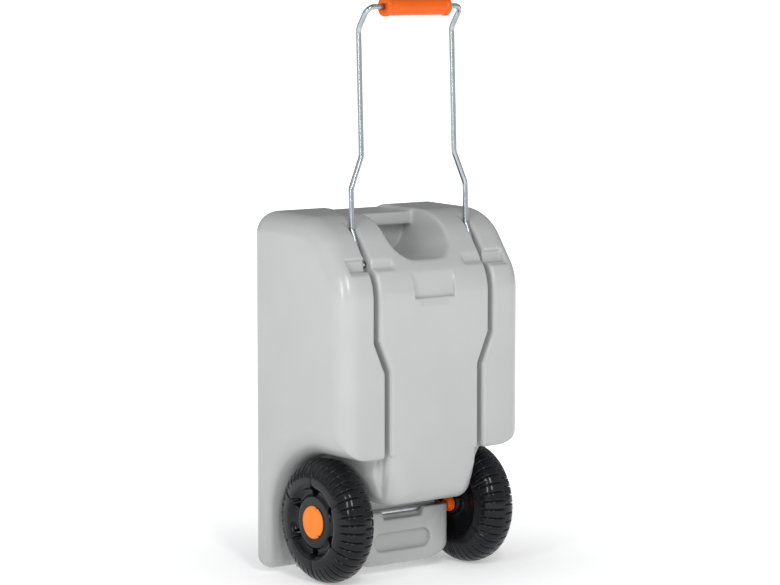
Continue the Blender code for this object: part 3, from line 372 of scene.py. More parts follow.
def rounded(section, radius, steps=4):
    """Round every corner of a closed section of (radius, height) that has room for it."""
    points = []
    count = len(section)
    for index in range(count):
        here = Vector(section[index])
        before, after = Vector(section[index - 1]), Vector(section[(index + 1) % count])
        way_in, way_out = here - before, after - here
        fit = min(radius, way_in.length * 0.45, way_out.length * 0.45)
        on_axis = here.x < 1e-9
        turn = way_in.angle(way_out)
        if on_axis or turn < math.radians(20):
            points.append(tuple(here))
            continue
        start = here - way_in.normalized() * fit
        end = here + way_out.normalized() * fit
        for step in range(steps + 1):
            part = step / steps
            points.append(tuple(
                start * (1 - part) ** 2 + here * (2 * part * (1 - part)) + end * part ** 2
            ))
    return points


# %% [markdown]
# ## The wheels
#
# Each wheel is one blow-moulded shell: a fat tyre, a flat hub disc, a round channel between the
# two with six deep sinks in it, and a crease from each sink up to the tread. A lathe gives the
# round part, so its section is spun about the axle. The tread, the creases and the sinks repeat
# round the wheel, so they are pressed into that surface afterwards, each by how far a point is
# from the nearest groove, crease or sink. The points are first drawn round towards the grooves,
# which leaves enough of them in each narrow groove without a finer mesh everywhere.

# %% Wheel sizes
WHEEL_RADIUS = 0.091
WHEEL_HALF_WIDTH = 0.030
WHEEL_X = 0.1305
AXLE_Y, AXLE_Z = -0.021, 0.091
TYRE_DEPTH = 0.034
TYRE_SIDE_RADIUS = WHEEL_RADIUS - TYRE_DEPTH
TYRE_SQUARENESS = 2.3
WHEEL_BORE = 0.0073
HUB_FACE = 0.0245
HUB_POCKET_RADIUS = 0.020
HUB_POCKET_FLOOR = 0.0125
HUB_DISC_RADIUS = 0.0378
CHANNEL_OUTER_RADIUS = 0.0505
CHANNEL_EDGE = 0.0272
CHANNEL_DEPTH = 0.0042
BOSS_RADIUS = 0.015
BOSS_OUT = 0.0309
DISH = 0.018
GROOVES = 42
STEPS_PER_GROOVE = 18
CROWDING = 0.6
GROOVE_DEPTH = 0.0026
SEAM_STEP = 0.0003
SINKS = 6
SINK_CIRCLE = 0.0455
SINK_RADIUS = 0.0073
SINK_FLOOR = 0.0120
CREASE_DEPTH = 0.0010
PILLOW_DEPTH = 0.0006
print("wheel: %.0f mm across" % (2000 * WHEEL_RADIUS))

# %% Wheel section


def tyre_arc(steps):
    """The tyre's own round section, from its outboard side over the crown to its inboard side."""
    points = []
    for step in range(-steps, steps + 1):
        turn = math.pi / 2 * step / steps
        out = abs(math.sin(turn)) ** (2 / TYRE_SQUARENESS) * WHEEL_HALF_WIDTH
        deep = (1 - math.cos(turn) ** (2 / TYRE_SQUARENESS)) * TYRE_DEPTH
        points.append((WHEEL_RADIUS - deep, math.copysign(out, -step)))
    return points


def channel(inner, outer, start, end, depth, steps):
    """A round channel between two radii, from one height to another."""
    points = []
    for step in range(steps + 1):
        part = step / steps
        points.append((
            inner + (outer - inner) * part,
            start + (end - start) * part - depth * math.sin(math.pi * part) ** 0.8,
        ))
    return points


SIDE_BLEND = [(0.0525, 0.0286), (0.0547, 0.0296)]
HUB_EDGE = [
    (HUB_POCKET_RADIUS, HUB_FACE - 0.0007), (HUB_POCKET_RADIUS + 0.0007, HUB_FACE),
    (0.025, HUB_FACE), (0.031, HUB_FACE),
    (HUB_DISC_RADIUS - 0.0012, HUB_FACE), (HUB_DISC_RADIUS - 0.0005, HUB_FACE - 0.0002),
]
WHEEL_SECTION = (
    [(WHEEL_BORE, HUB_POCKET_FLOOR), (HUB_POCKET_RADIUS, HUB_POCKET_FLOOR)]
    + HUB_EDGE
    + channel(
        HUB_DISC_RADIUS, CHANNEL_OUTER_RADIUS, HUB_FACE - 0.0008, CHANNEL_EDGE, CHANNEL_DEPTH, 24
    )
    + SIDE_BLEND
    + tyre_arc(24)
    + [(r, -h) for r, h in reversed(SIDE_BLEND)]
    + [(0.0500, -0.0272), (0.0480, -0.0240), (0.0450, -0.0208), (0.0415, -0.0188)]
    + [(0.0380, -DISH), (BOSS_RADIUS + 0.002, -DISH), (BOSS_RADIUS, -DISH - 0.002)]
    + [(BOSS_RADIUS, 0.0008 - BOSS_OUT), (BOSS_RADIUS - 0.0008, -BOSS_OUT)]
    + [(WHEEL_BORE, -BOSS_OUT)]
)
print("wheel section:", len(WHEEL_SECTION), "points")

# %% [markdown]
# The crown carries a fine parting line. Grooves run from it down both shoulders, those of one half
# halfway between those of the other. Six creases lie in line with every seventh groove.

# %% Press the tread into a wheel


def ramp(value, start, end):
    """0 below start, 1 above end, and smooth between."""
    part = np.clip((value - start) / (end - start), 0.0, 1.0)
    return part * part * (3 - 2 * part)


def line_distance(turn, count, offset, radius):
    """How far round the wheel each point is from the nearest of count radial lines."""
    pitch = math.tau / count
    return np.abs((turn / pitch + offset + 0.5) % 1.0 - 0.5) * pitch * radius


def press_wheel(mesh, side):
    """Move the points of a spun wheel inwards at its grooves, creases and sinks."""
    points = vertex_values(mesh, "co")
    out = side * (points[:, 0] - side * WHEEL_X)
    across, up = points[:, 1] - AXLE_Y, points[:, 2] - AXLE_Z
    radius = np.hypot(across, up)
    turn = np.arctan2(across, up)
    turn -= CROWDING * np.sin(2 * GROOVES * turn) / (2 * GROOVES)
    shoulder = np.degrees(np.arctan2(
        out / WHEEL_HALF_WIDTH, (radius - TYRE_SIDE_RADIUS) / TYRE_DEPTH
    ))
    lean = np.abs(shoulder)
    tyre = radius > TYRE_SIDE_RADIUS - 1e-6

    half = np.where(out > 0, 0.0, 0.5)
    groove = 1 - ramp(line_distance(turn, GROOVES, half, radius), 0.0002, 0.0014)
    groove *= ramp(lean, 3.0, 6.0) * (1 - ramp(lean, 64.0, 72.0)) * tyre
    crease = 1 - ramp(line_distance(turn, SINKS, 0.0, radius), 0.0003, 0.0018)
    past_channel = radius - CHANNEL_OUTER_RADIUS
    crease *= ramp(past_channel, -0.001, 0.002)
    crease *= ramp(lean, 40.0, 55.0)
    pillow = (1 - np.abs(np.sin(SINKS / 2 * turn))) ** 3
    pillow *= ramp(past_channel, -0.001, 0.004)
    pillow *= ramp(lean, 30.0, 60.0)
    seam = 1 - ramp(np.abs(out), 0.0003, 0.0009)
    depth = GROOVE_DEPTH * groove + CREASE_DEPTH * crease + PILLOW_DEPTH * pillow
    depth += SEAM_STEP * (1 - seam) * tyre

    slope_out = out / WHEEL_HALF_WIDTH ** 2
    slope_up = np.maximum(radius - TYRE_SIDE_RADIUS, 0.0) / TYRE_DEPTH ** 2
    steep = np.hypot(slope_out, slope_up) + 1e-9
    radius_after = radius - depth * slope_up / steep
    out_after = out - depth * slope_out / steep

    nearest = (turn / math.tau * SINKS + 0.5) % 1.0 - 0.5
    from_sink = nearest * math.tau / SINKS
    sink = np.hypot(radius * np.sin(from_sink), radius * np.cos(from_sink) - SINK_CIRCLE)
    pressed = (1 - ramp(sink, SINK_RADIUS - 0.0005, SINK_RADIUS + 0.0005)) * (out > 0)
    out_after += pressed * np.minimum(SINK_FLOOR - out_after, 0.0)

    points[:, 0] = side * (WHEEL_X + out_after)
    points[:, 1] = AXLE_Y + np.sin(turn) * radius_after
    points[:, 2] = AXLE_Z + np.cos(turn) * radius_after
    mesh.vertices.foreach_set("co", points.ravel())
    mesh.update()


# %% Make both wheels
for tag, side in (("left", -1), ("right", 1)):
    shape = spun(
        WHEEL_SECTION, GROOVES * STEPS_PER_GROOVE, (side * WHEEL_X, AXLE_Y, AXLE_Z),
        (side, 0, 0), (0, 0, 1),
    )
    mesh = to_mesh(shape, "wheel_skin_" + tag)
    press_wheel(mesh, side)
    finish_piece(
        "wheel_skin_" + tag, mesh, BLACK, tag + "_wheel", "black_polyethylene", "wheel_" + tag
    )

# %% [markdown]
# ## Hub caps
#
# An orange cap closes each hub. It is a shallow dome on a short skirt, with three small notches in
# its rim for the tool that lifts it off. The notches are cut by pulling the rim inwards.

# %% Hub caps
CAP_SEAT = HUB_FACE + 0.0003
CAP_RADIUS = 0.024
CAP_TURN = math.radians(38.0)
CAP_NOTCHES, CAP_NOTCH = 3, 0.0021
CAP_SKIRT_OUT, CAP_SKIRT_IN, CAP_SKIRT_END = 0.0197, 0.0177, CAP_SEAT - 0.005
CAP_SECTION = [
    (0.0, CAP_SEAT + 0.0044), (0.006, CAP_SEAT + 0.0043), (0.012, CAP_SEAT + 0.0041),
    (0.017, CAP_SEAT + 0.0037), (0.0205, CAP_SEAT + 0.0032), (0.0226, CAP_SEAT + 0.0026),
    (0.0236, CAP_SEAT + 0.0019), (CAP_RADIUS, CAP_SEAT + 0.0010), (CAP_RADIUS, CAP_SEAT + 0.0003),
    (CAP_RADIUS - 0.0003, CAP_SEAT), (CAP_SKIRT_OUT, CAP_SEAT), (CAP_SKIRT_OUT, CAP_SKIRT_END),
    (CAP_SKIRT_IN, CAP_SKIRT_END), (CAP_SKIRT_IN, CAP_SEAT), (0.0, CAP_SEAT + 0.0024),
]


def notch_rim(mesh, centre):
    """Pull a hub cap's rim inwards at its evenly spaced round notches."""
    pitch = math.tau / CAP_NOTCHES
    for vertex in mesh.vertices:
        across, up = vertex.co.y - centre.y, vertex.co.z - centre.z
        radius = math.hypot(across, up)
        if radius < CAP_RADIUS - CAP_NOTCH:
            continue
        off = ((math.atan2(-across, -up) - CAP_TURN) / pitch + 0.5) % 1.0 - 0.5
        away = abs(off) * pitch * CAP_RADIUS
        if away >= CAP_NOTCH:
            continue
        new_radius = min(radius, CAP_RADIUS - math.sqrt(CAP_NOTCH ** 2 - away ** 2))
        vertex.co.y = centre.y + across * new_radius / radius
        vertex.co.z = centre.z + up * new_radius / radius


for tag, side in (("left", -1), ("right", 1)):
    centre = Vector((side * WHEEL_X, AXLE_Y, AXLE_Z))
    mesh = to_mesh(spun(CAP_SECTION, 240, centre, (side, 0, 0), (0, 0, 1)), "hub_cap_" + tag)
    notch_rim(mesh, centre)
    finish_piece(
        "hub_cap_skin_" + tag, mesh, PAINTED_LIGHT_ORANGE, tag + "_wheel", "orange_plastic",
        "hub_cap_" + tag,
    )

# %% [markdown]
# ## Spacers and axle
#
# The orange spacer between the chin and each wheel shows at the right wheel: a short sleeve with a
# thinner neck. The axle is a plain rod with its ends chamfered.

# %% Spacers
AXLE_RADIUS = 0.004
AXLE_BORE = AXLE_RADIUS + 0.0002
SPACER_OUT = -BOSS_OUT - 0.0003
SPACER_NECK_START, SPACER_END = SPACER_OUT - 0.006, SPACER_OUT - 0.009
SPACER_RADIUS, SPACER_NECK_RADIUS = 0.0115, 0.008
SPACER_SECTION = [
    (AXLE_BORE, SPACER_OUT), (SPACER_RADIUS, SPACER_OUT), (SPACER_RADIUS, SPACER_NECK_START),
    (SPACER_NECK_RADIUS, SPACER_NECK_START), (SPACER_NECK_RADIUS, SPACER_END),
    (AXLE_BORE, SPACER_END),
]
for tag, side in (("left", -1), ("right", 1)):
    centre = (side * WHEEL_X, AXLE_Y, AXLE_Z)
    shape = spun(rounded(SPACER_SECTION, 0.0008), 64, centre, (side, 0, 0), (0, 0, 1))
    finish_piece(
        "spacer_skin_" + tag, to_mesh(shape, "spacer_skin_" + tag), SPACER_ORANGE_PAINTED_LIT, "tank",
        "orange_plastic", "axle_spacer_" + tag,
    )

# %% Axle
AXLE_CHAMFER = 0.0006
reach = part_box("axle")[1][0]
rod = [
    (0.0, reach), (AXLE_RADIUS - AXLE_CHAMFER, reach), (AXLE_RADIUS, reach - AXLE_CHAMFER),
]
rod += [(r, -h) for r, h in reversed(rod)]
shape = spun(rod, 48, (0, AXLE_Y, AXLE_Z), (1, 0, 0), (0, 0, 1))
finish_piece(
    "axle_rod", to_mesh(shape, "axle_rod"), ZINC_STEEL, "tank", "zinc_plated_steel", "axle"
)

# %% [markdown]
# ## The bail
#
# The bail is one steel wire. A wire bender makes it by feeding the wire straight and turning it
# round a post at each bend, and the mesh is made the same way: a circle is extruded along each
# straight and spun round the centre of each bend.

# %% Bail sizes
WIRE_RADIUS = 0.004
PIVOT = Vector((0.0, -0.0705, 0.4645))
PIN_X, LEG_X, UPPER_LEG_X = 0.071, 0.1056, 0.0858
LEG_LEAN = math.radians(2.0)
KNEE_BACK, KNEE_UP = 0.0219, 0.048
KINK_START, KINK_END = 0.1075, 0.153
NECK_BEND, GRIP_UP, GRIP_FORWARD = 0.335, 0.3666, 0.0221
PIN_BEND, LEG_BEND, TOP_BEND = 0.0065, 0.018, 0.012


def leg_back(up):
    """How far behind the pivot a leg is at a height above it."""
    return KNEE_BACK + (up - KNEE_UP) * math.tan(LEG_LEAN)


RIGHT_HALF = [
    ((PIN_X, 0.0, 0.0), 0.0),
    ((LEG_X, 0.0, 0.0), PIN_BEND),
    ((LEG_X, KNEE_BACK, KNEE_UP), LEG_BEND),
    ((LEG_X, leg_back(KINK_START), KINK_START), LEG_BEND),
    ((UPPER_LEG_X, leg_back(KINK_END), KINK_END), LEG_BEND),
    ((UPPER_LEG_X, leg_back(NECK_BEND), NECK_BEND), LEG_BEND),
    ((UPPER_LEG_X, leg_back(NECK_BEND) - GRIP_FORWARD, GRIP_UP), TOP_BEND),
]
LEFT_HALF = [((-x, y, z), radius) for (x, y, z), radius in reversed(RIGHT_HALF)]
GRIP_CENTRE = PIVOT + Vector((0.0, *RIGHT_HALF[-1][0][1:]))
print("grip centre:", [round(1000 * value, 1) for value in GRIP_CENTRE], "mm")

# %% Bend a wire


def only(kind, geometry):
    """The vertices, edges or faces among what an operator returns."""
    return [item for item in geometry if isinstance(item, kind)]


def bend_wire(route, radius, sides, bend_step):
    """A round wire along a route of (corner, bend radius), with slightly rounded ends."""
    corners = [PIVOT + Vector(stop[0]) for stop in route]
    shape = bmesh.new()
    way = (corners[1] - corners[0]).normalized()
    bmesh.ops.create_circle(
        shape, cap_ends=False, segments=sides, radius=radius,
        matrix=Matrix.Translation(corners[0]) @ way.to_track_quat("Z", "Y").to_matrix().to_4x4(),
    )
    ring = list(shape.edges)
    first = list(ring)
    at = corners[0]
    for index in range(1, len(corners)):
        here = corners[index]
        way_in = (here - corners[index - 1]).normalized()
        last = index == len(corners) - 1
        turn, cut = 0.0, 0.0
        if not last:
            way_out = (corners[index + 1] - here).normalized()
            turn = way_in.angle(way_out)
            cut = route[index][1] * math.tan(turn / 2)
        straight = (here - way_in * cut) - at
        out = bmesh.ops.extrude_edge_only(shape, edges=ring)["geom"]
        moved = only(bmesh.types.BMVert, out)
        ring = [
            edge for edge in only(bmesh.types.BMEdge, out)
            if all(vertex in moved for vertex in edge.verts)
        ]
        bmesh.ops.translate(shape, verts=moved, vec=straight)
        at = at + straight
        if last:
            break
        axis = way_in.cross(way_out).normalized()
        centre = at + axis.cross(way_in) * route[index][1]
        steps = max(2, math.ceil(turn / bend_step))
        out = bmesh.ops.spin(
            shape, geom=moved + ring, cent=centre, axis=axis, angle=turn, steps=steps,
            use_duplicate=False,
        )["geom_last"]
        ring = only(bmesh.types.BMEdge, out)
        at = here + way_out * cut
    for end in (first, ring):
        bmesh.ops.contextual_create(shape, geom=end)
        bmesh.ops.bevel(
            shape, geom=end, offset=0.0008, offset_type="OFFSET", segments=3, profile=0.5,
            affect="EDGES", material=-1, clamp_overlap=True,
        )
    return shape


wire = bend_wire(RIGHT_HALF + LEFT_HALF, WIRE_RADIUS, 32, math.radians(5))
finish_piece(
    "bail_wire", to_mesh(wire, "bail_wire"), ZINC_WIRE, "bail", "zinc_plated_wire", "handle_bail"
)

# %% [markdown]
# ## The grip
#
# A moulded sleeve turns on the top of the wire. It is a lathe shape too: a straight barrel with a
# small collar at each end, and every edge rounded.

# %% Grip
GRIP_HALF = 0.058
GRIP_PROFILE = [
    (0.0042, 0.0), (0.0128, 0.0), (0.0138, 0.0004), (0.0143, 0.0013), (0.0143, 0.0060),
    (0.0139, 0.0068), (0.0130, 0.0076), (0.0127, 0.0092), (0.0130, 0.0110), (0.0130, 0.020),
]
grip_half = [(radius, GRIP_HALF - inside) for radius, inside in GRIP_PROFILE]
grip_section = grip_half + [(radius, -height) for radius, height in reversed(grip_half)]
shape = spun(grip_section, 96, GRIP_CENTRE, (1, 0, 0), (0, 0, 1))
finish_piece(
    "grip_sleeve", to_mesh(shape, "grip_sleeve"), ORANGE, "grip", "orange_plastic", "handle_grip"
)

# %% [markdown]
# ## The tank: outlines
#
# The tank is the one shape that no lathe or bend gives. Two things describe it: outlines drawn
# from the side or from the front, and how strongly each side is rounded where the shape ends. A
# stack of the same outline, drawn in a little further at each step towards the end, gives that
# rounding. The corners of an outline keep their own fillets, and both are finer here than in CAD.

# %% Tank outlines
ARC_STEP = math.radians(4.0)
END_STEPS = 16
SMALLEST_ARC = 0.0005
NEARLY_ROUND = 0.98
SIDE_VIEW = Matrix(((0, 0, 1), (1, 0, 0), (0, 1, 0)))
FRONT_VIEW = Matrix(((1, 0, 0), (0, 0, 1), (0, 1, 0)))


def meet(start, end, shift_before, before, shift_after, after):
    """Where two sides of an outline meet once each has moved inwards by its own shift."""
    way_in, way_out = (start - before).normalized(), (end - start).normalized()
    inwards_in = Vector((-way_in.y, way_in.x)) * shift_before
    inwards_out = Vector((-way_out.y, way_out.x)) * shift_after
    cross = way_in.cross(way_out)
    if abs(cross) < 1e-6:
        return start + inwards_in
    return start + inwards_in + way_in * ((inwards_out - inwards_in).cross(way_out) / cross)


def outline(corners, insets=0.0):
    """Points of a closed outline from counter-clockwise corners (across, up, fillet radius).

    Each side, named by the corner it starts at, is first moved inwards by its inset.
    """
    count = len(corners)
    if not isinstance(insets, list):
        insets = [insets] * count
    plain = [Vector(corner[:2]) for corner in corners]
    moved = [
        meet(here, plain[(i + 1) % count], insets[i - 1], plain[i - 1], insets[i],
             plain[(i + 1) % count])
        for i, here in enumerate(plain)
    ]
    points = []
    for i, here in enumerate(moved):
        radius = corners[i][2]
        if radius <= 0:
            points.append(here)
            continue
        way_in = (here - moved[i - 1]).normalized()
        way_out = (moved[(i + 1) % count] - here).normalized()
        turn = math.atan2(way_in.cross(way_out), way_in.dot(way_out))
        side = math.copysign(1.0, turn)
        radius = max(radius - side * (insets[i - 1] + insets[i]) / 2, SMALLEST_ARC)
        start = here - way_in * (radius * math.tan(abs(turn) / 2))
        centre = start + Vector((-way_in.y, way_in.x)) * (radius * side)
        own_turn = (plain[i] - plain[i - 1]).angle(plain[(i + 1) % count] - plain[i])
        steps = max(2, math.ceil(own_turn / ARC_STEP - 0.01))
        for step in range(steps + 1):
            points.append(centre + Matrix.Rotation(turn * step / steps, 2) @ (start - centre))
    return points


def rectangle(left, right, bottom, top, fillet=0.0):
    """Points of an upright rectangle, with its corners filleted."""
    corners = [(left, bottom), (right, bottom), (right, top), (left, top)]
    return outline([(*corner, fillet) for corner in corners])


# %% Stacks, prisms and round bars


def drawn_in(radius, distance):
    """How far a side draws in at a distance from the end that it is rounded into."""
    if distance >= radius:
        return 0.0
    return radius - math.sqrt(radius ** 2 - (radius - distance) ** 2)


def add_loop(shape, points, depth, view):
    """One outline as a closed loop of edges, at a depth along the view's own direction."""
    ring = [shape.verts.new(view @ Vector((point[0], point[1], depth))) for point in points]
    return [shape.edges.new(pair) for pair in zip(ring, ring[1:] + ring[:1])]


def stack(name, corners, low, high, view, inset=0.0, ends=(True, True)):
    """A solid from low to high. corners are (across, up, fillet, rounding at the ends)."""
    largest = max(corner[3] for corner in corners) - inset
    away = [
        largest * (1 - math.cos(math.pi / 2 * step / END_STEPS)) for step in range(END_STEPS + 1)
    ]
    start, end = low + inset * ends[0], high - inset * ends[1]
    near = [(start + step, step) for step in away] if ends[0] else [(start, largest)]
    far = [(end - step, step) for step in reversed(away)] if ends[1] else [(end, largest)]
    shape = bmesh.new()
    rings = []
    for depth, distance in near + far:
        insets = [inset + drawn_in(max(corner[3] - inset, 0.0), distance) for corner in corners]
        rings.append(add_loop(shape, outline(corners, insets), depth, view))
    for ring, after in zip(rings, rings[1:]):
        bmesh.ops.bridge_loops(shape, edges=ring + after)
    for end in (rings[0], rings[-1]):
        bmesh.ops.contextual_create(shape, geom=end)
    return hidden_solid(name, shape)


def prism(name, points, low, high, view):
    """A straight solid: an outline filled and extruded."""
    shape = bmesh.new()
    loop = add_loop(shape, points, low, view)
    face = bmesh.ops.contextual_create(shape, geom=loop)["faces"]
    out = bmesh.ops.extrude_face_region(shape, geom=face)["geom"]
    bmesh.ops.translate(
        shape, verts=only(bmesh.types.BMVert, out), vec=view @ Vector((0, 0, high - low))
    )
    return hidden_solid(name, shape)


def round_bar(name, height, radius, top_radius, low, high):
    """A round solid along Y, out of the back of the tank at a height."""
    shape = bmesh.new()
    bmesh.ops.create_cone(
        shape, cap_ends=True, segments=72, radius1=radius, radius2=top_radius, depth=high - low,
        matrix=Matrix.Translation((0, (low + high) / 2, height))
        @ Matrix.Rotation(-math.pi / 2, 4, "X"),
    )
    return hidden_solid(name, shape)


def hidden_solid(name, shape):
    """A solid that only serves to join or cut another, faced outwards."""
    solid = bpy.data.objects.new(name, to_mesh(shape, name))
    scene.collection.objects.link(solid)
    return solid


def mirrored(solid):
    """The same solid on the other side of the tank."""
    shape = bmesh.new()
    shape.from_mesh(solid.data)
    bmesh.ops.scale(shape, verts=shape.verts, vec=(-1, 1, 1))
    return hidden_solid(solid.name + "_left", shape)


# %% [markdown]
# ## The tank: sizes
#
# The front is a tall broad mass with a sloping shoulder and a flat underside, a slab that runs
# down behind the wheels, a tongue that reaches down between them over the axle, and a chin under
# it. Everything the bail and the hand need is cut into that: grooves, pin holes and pockets for
# the wire, a hand hole with a bar across it, and a finger wedge.

# %% Tank sizes
TANK_HALF_WIDTH = 0.168
FRONT_Y, BACK_Y = -0.109, 0.112
TANK_TOP = 0.5345
TANK_UNDERSIDE = 0.006
WALL = 0.003
ARCH_RADIUS = 0.096
SLAB_FRONT_Y = AXLE_Y + ARCH_RADIUS
BELLY_Z = AXLE_Z + ARCH_RADIUS
SLOPE_FOOT_Z = 0.4415
SLOPE = math.tan(math.radians(54.0))
TOP_TILT = math.tan(math.radians(1.5))
BACK_TOP_Z = 0.535296
SLOPE_REACH = (BACK_TOP_Z - (BACK_Y - FRONT_Y) * TOP_TILT - SLOPE_FOOT_Z) / (SLOPE - TOP_TILT)
CHIN_FRONT, CHIN_BOTTOM, CHIN_TOP, CHIN_HALF = -0.0335, 0.012, 0.094, 0.090
TROUGH_HALF = 0.0043
AXLE_WALL_GAP, AXLE_WALL_LOW, AXLE_WALL_HALF = 0.0046, 0.075, 0.074
FOOT_FRONT, FOOT_BACK, FOOT_TOP, FOOT_HALF = 0.072, 0.098, 0.0075, 0.100
TONGUE_BOTTOM = 0.1135
OUTSIDE = 0.030

SIDE_CORNERS = [
    (SLAB_FRONT_Y, TANK_UNDERSIDE, 0.016, 0.020),
    (BACK_Y, TANK_UNDERSIDE, 0.020, 0.020),
    (BACK_Y, BACK_TOP_Z, 0.030, 0.030),
    (FRONT_Y + SLOPE_REACH, SLOPE_FOOT_Z + SLOPE_REACH * SLOPE, 0.085, 0.030),
    (FRONT_Y, SLOPE_FOOT_Z, 0.075, 0.030),
    (FRONT_Y, BELLY_Z, 0.006, 0.047),
    (SLAB_FRONT_Y, BELLY_Z, ARCH_RADIUS, 0.014),
]
TONGUE_SIDE = 0.045
TONGUE_FOOT, TONGUE_WAIST, TONGUE_ROOT = 0.0800, 0.0985, 0.0998
WAIST_Z, ROOT_Z = 0.158, BELLY_Z + 0.005
INNER_HALF, INNER_TOP = 0.131, 0.300
TONGUE_CORNERS = [
    (TONGUE_FOOT, TONGUE_BOTTOM, 0.030, TONGUE_SIDE), (TONGUE_WAIST, WAIST_Z, 0.020, TONGUE_SIDE),
    (TONGUE_ROOT, ROOT_Z, 0.028, TONGUE_SIDE), (INNER_HALF, ROOT_Z, 0.0, 0.0),
    (INNER_HALF, INNER_TOP, 0.0, 0.0), (-INNER_HALF, INNER_TOP, 0.0, 0.0),
    (-INNER_HALF, ROOT_Z, 0.0, TONGUE_SIDE), (-TONGUE_ROOT, ROOT_Z, 0.028, TONGUE_SIDE),
    (-TONGUE_WAIST, WAIST_Z, 0.020, TONGUE_SIDE), (-TONGUE_FOOT, TONGUE_BOTTOM, 0.030, 0.030),
]


def masses(inset):
    """The main mass, and what is joined to it, each moved inwards by inset."""
    behind = SLAB_FRONT_Y + 2 * WALL
    chin_back = behind + inset
    chin_top = AXLE_Z - TROUGH_HALF if inset else CHIN_TOP
    chin = [
        (CHIN_FRONT, CHIN_BOTTOM, 0.014, 0.040), (chin_back, CHIN_BOTTOM, 0.0, 0.0),
        (chin_back, chin_top, 0.0, 0.0), (CHIN_FRONT, chin_top, 0.0, 0.014),
    ]
    near, wall_top = AXLE_Y + AXLE_WALL_GAP + inset, TONGUE_BOTTOM + 4 * WALL - inset
    wall = rectangle(near, chin_back, AXLE_WALL_LOW, wall_top)
    wall_half = AXLE_WALL_HALF - inset
    main = stack("main", SIDE_CORNERS, -TANK_HALF_WIDTH, TANK_HALF_WIDTH, SIDE_VIEW, inset)
    return main, [
        stack("tongue", TONGUE_CORNERS, FRONT_Y, behind, FRONT_VIEW, inset, (True, False)),
        stack("chin", chin, -CHIN_HALF, CHIN_HALF, SIDE_VIEW, inset),
        prism("axle_wall", wall, -wall_half, wall_half, SIDE_VIEW),
    ]


# %% [markdown]
# Each cutter is drawn once and can be grown by the wall's thickness. The plain one cuts the
# outside. The grown one is kept out of the hollow, so the wall runs round every groove and pocket.
# The mouths of the grooves are flared in two shallow steps, which smoothing later makes one round.

# %% Bail cutters
GROOVE_HALF = 0.0046
MOUTHS = [(0.0034, 0.0014), (0.0018, 0.0036)]
STOP_GAP, HOLE_GAP, FLOOR_GAP = 0.0004, 0.0005, 0.001
HOLE_END = 0.067
PRESS_DEPTH = 0.004
POCKET_DEPTH, POCKET_SLANT = 0.030, 0.004
POCKET_LOW, POCKET_HIGH, POCKET_END = 0.4565, 0.4725, 0.1425
FOLD = math.pi + LEG_LEAN
FOLDED_LEG_Y = PIVOT.y + KNEE_BACK * math.cos(FOLD) - KNEE_UP * math.sin(FOLD)


def bail_cutters(extra):
    """Grooves, pin holes and pockets for the bail on the right, and their copies on the left."""
    front = FRONT_Y - OUTSIDE
    half = GROOVE_HALF + extra
    floor_y = FOLDED_LEG_Y + WIRE_RADIUS + FLOOR_GAP + extra
    kink_top, kink_foot = PIVOT.z - KINK_START, PIVOT.z - KINK_END
    miter = half * math.tan(math.atan2(LEG_X - UPPER_LEG_X, kink_top - kink_foot) / 2)
    top, low = PIVOT.z - KNEE_UP / 2, TONGUE_BOTTOM - OUTSIDE
    run = [
        (LEG_X - half, top), (LEG_X - half, kink_top + miter),
        (UPPER_LEG_X - half, kink_foot + miter), (UPPER_LEG_X - half, low),
        (UPPER_LEG_X + half, low), (UPPER_LEG_X + half, kink_foot - miter),
        (LEG_X + half, kink_top - miter), (LEG_X + half, top),
    ]
    leg = Vector((KNEE_BACK, KNEE_UP))
    back = Vector((PIVOT.y, PIVOT.z))
    back += Vector((leg.y, -leg.x)).normalized() * (WIRE_RADIUS + extra + STOP_GAP)
    above = back + leg * ((TANK_TOP + OUTSIDE - back.y) / leg.y)
    foot = PIVOT.z - KNEE_UP
    below = back - leg * ((back.y - foot) / leg.y)
    sweep = [(front, foot), (max(below.x, floor_y), foot), tuple(above), (front, above.y)]
    hole_half = WIRE_RADIUS + HOLE_GAP + extra
    near, far = PIVOT.y - hole_half, PIVOT.y + hole_half
    bottom, roof = PIVOT.z - hole_half, PIVOT.z + hole_half
    hole = rectangle(near, far, bottom, roof, hole_half * NEARLY_ROUND)
    press_y = FRONT_Y + (PIVOT.z - SLOPE_FOOT_Z) / SLOPE + PRESS_DEPTH + extra
    press = rectangle(front, press_y, bottom, roof)
    pocket_back = FRONT_Y + POCKET_DEPTH + extra
    pocket_low, pocket_high = POCKET_LOW - extra, POCKET_HIGH + extra
    pocket = [
        (front, pocket_low), (pocket_back - POCKET_SLANT, pocket_low),
        (pocket_back, pocket_high), (front, pocket_high),
    ]
    right = [
        prism("groove", run, front, floor_y, FRONT_VIEW),
        prism("leg_sweep", sweep, LEG_X - half, LEG_X + half, SIDE_VIEW),
        prism("pin_hole", hole, HOLE_END - extra, LEG_X, SIDE_VIEW),
        prism("press", press, HOLE_END - extra, LEG_X, SIDE_VIEW),
        prism("pocket", pocket, LEG_X, POCKET_END + extra, SIDE_VIEW),
    ]
    return right + [mirrored(solid) for solid in right]


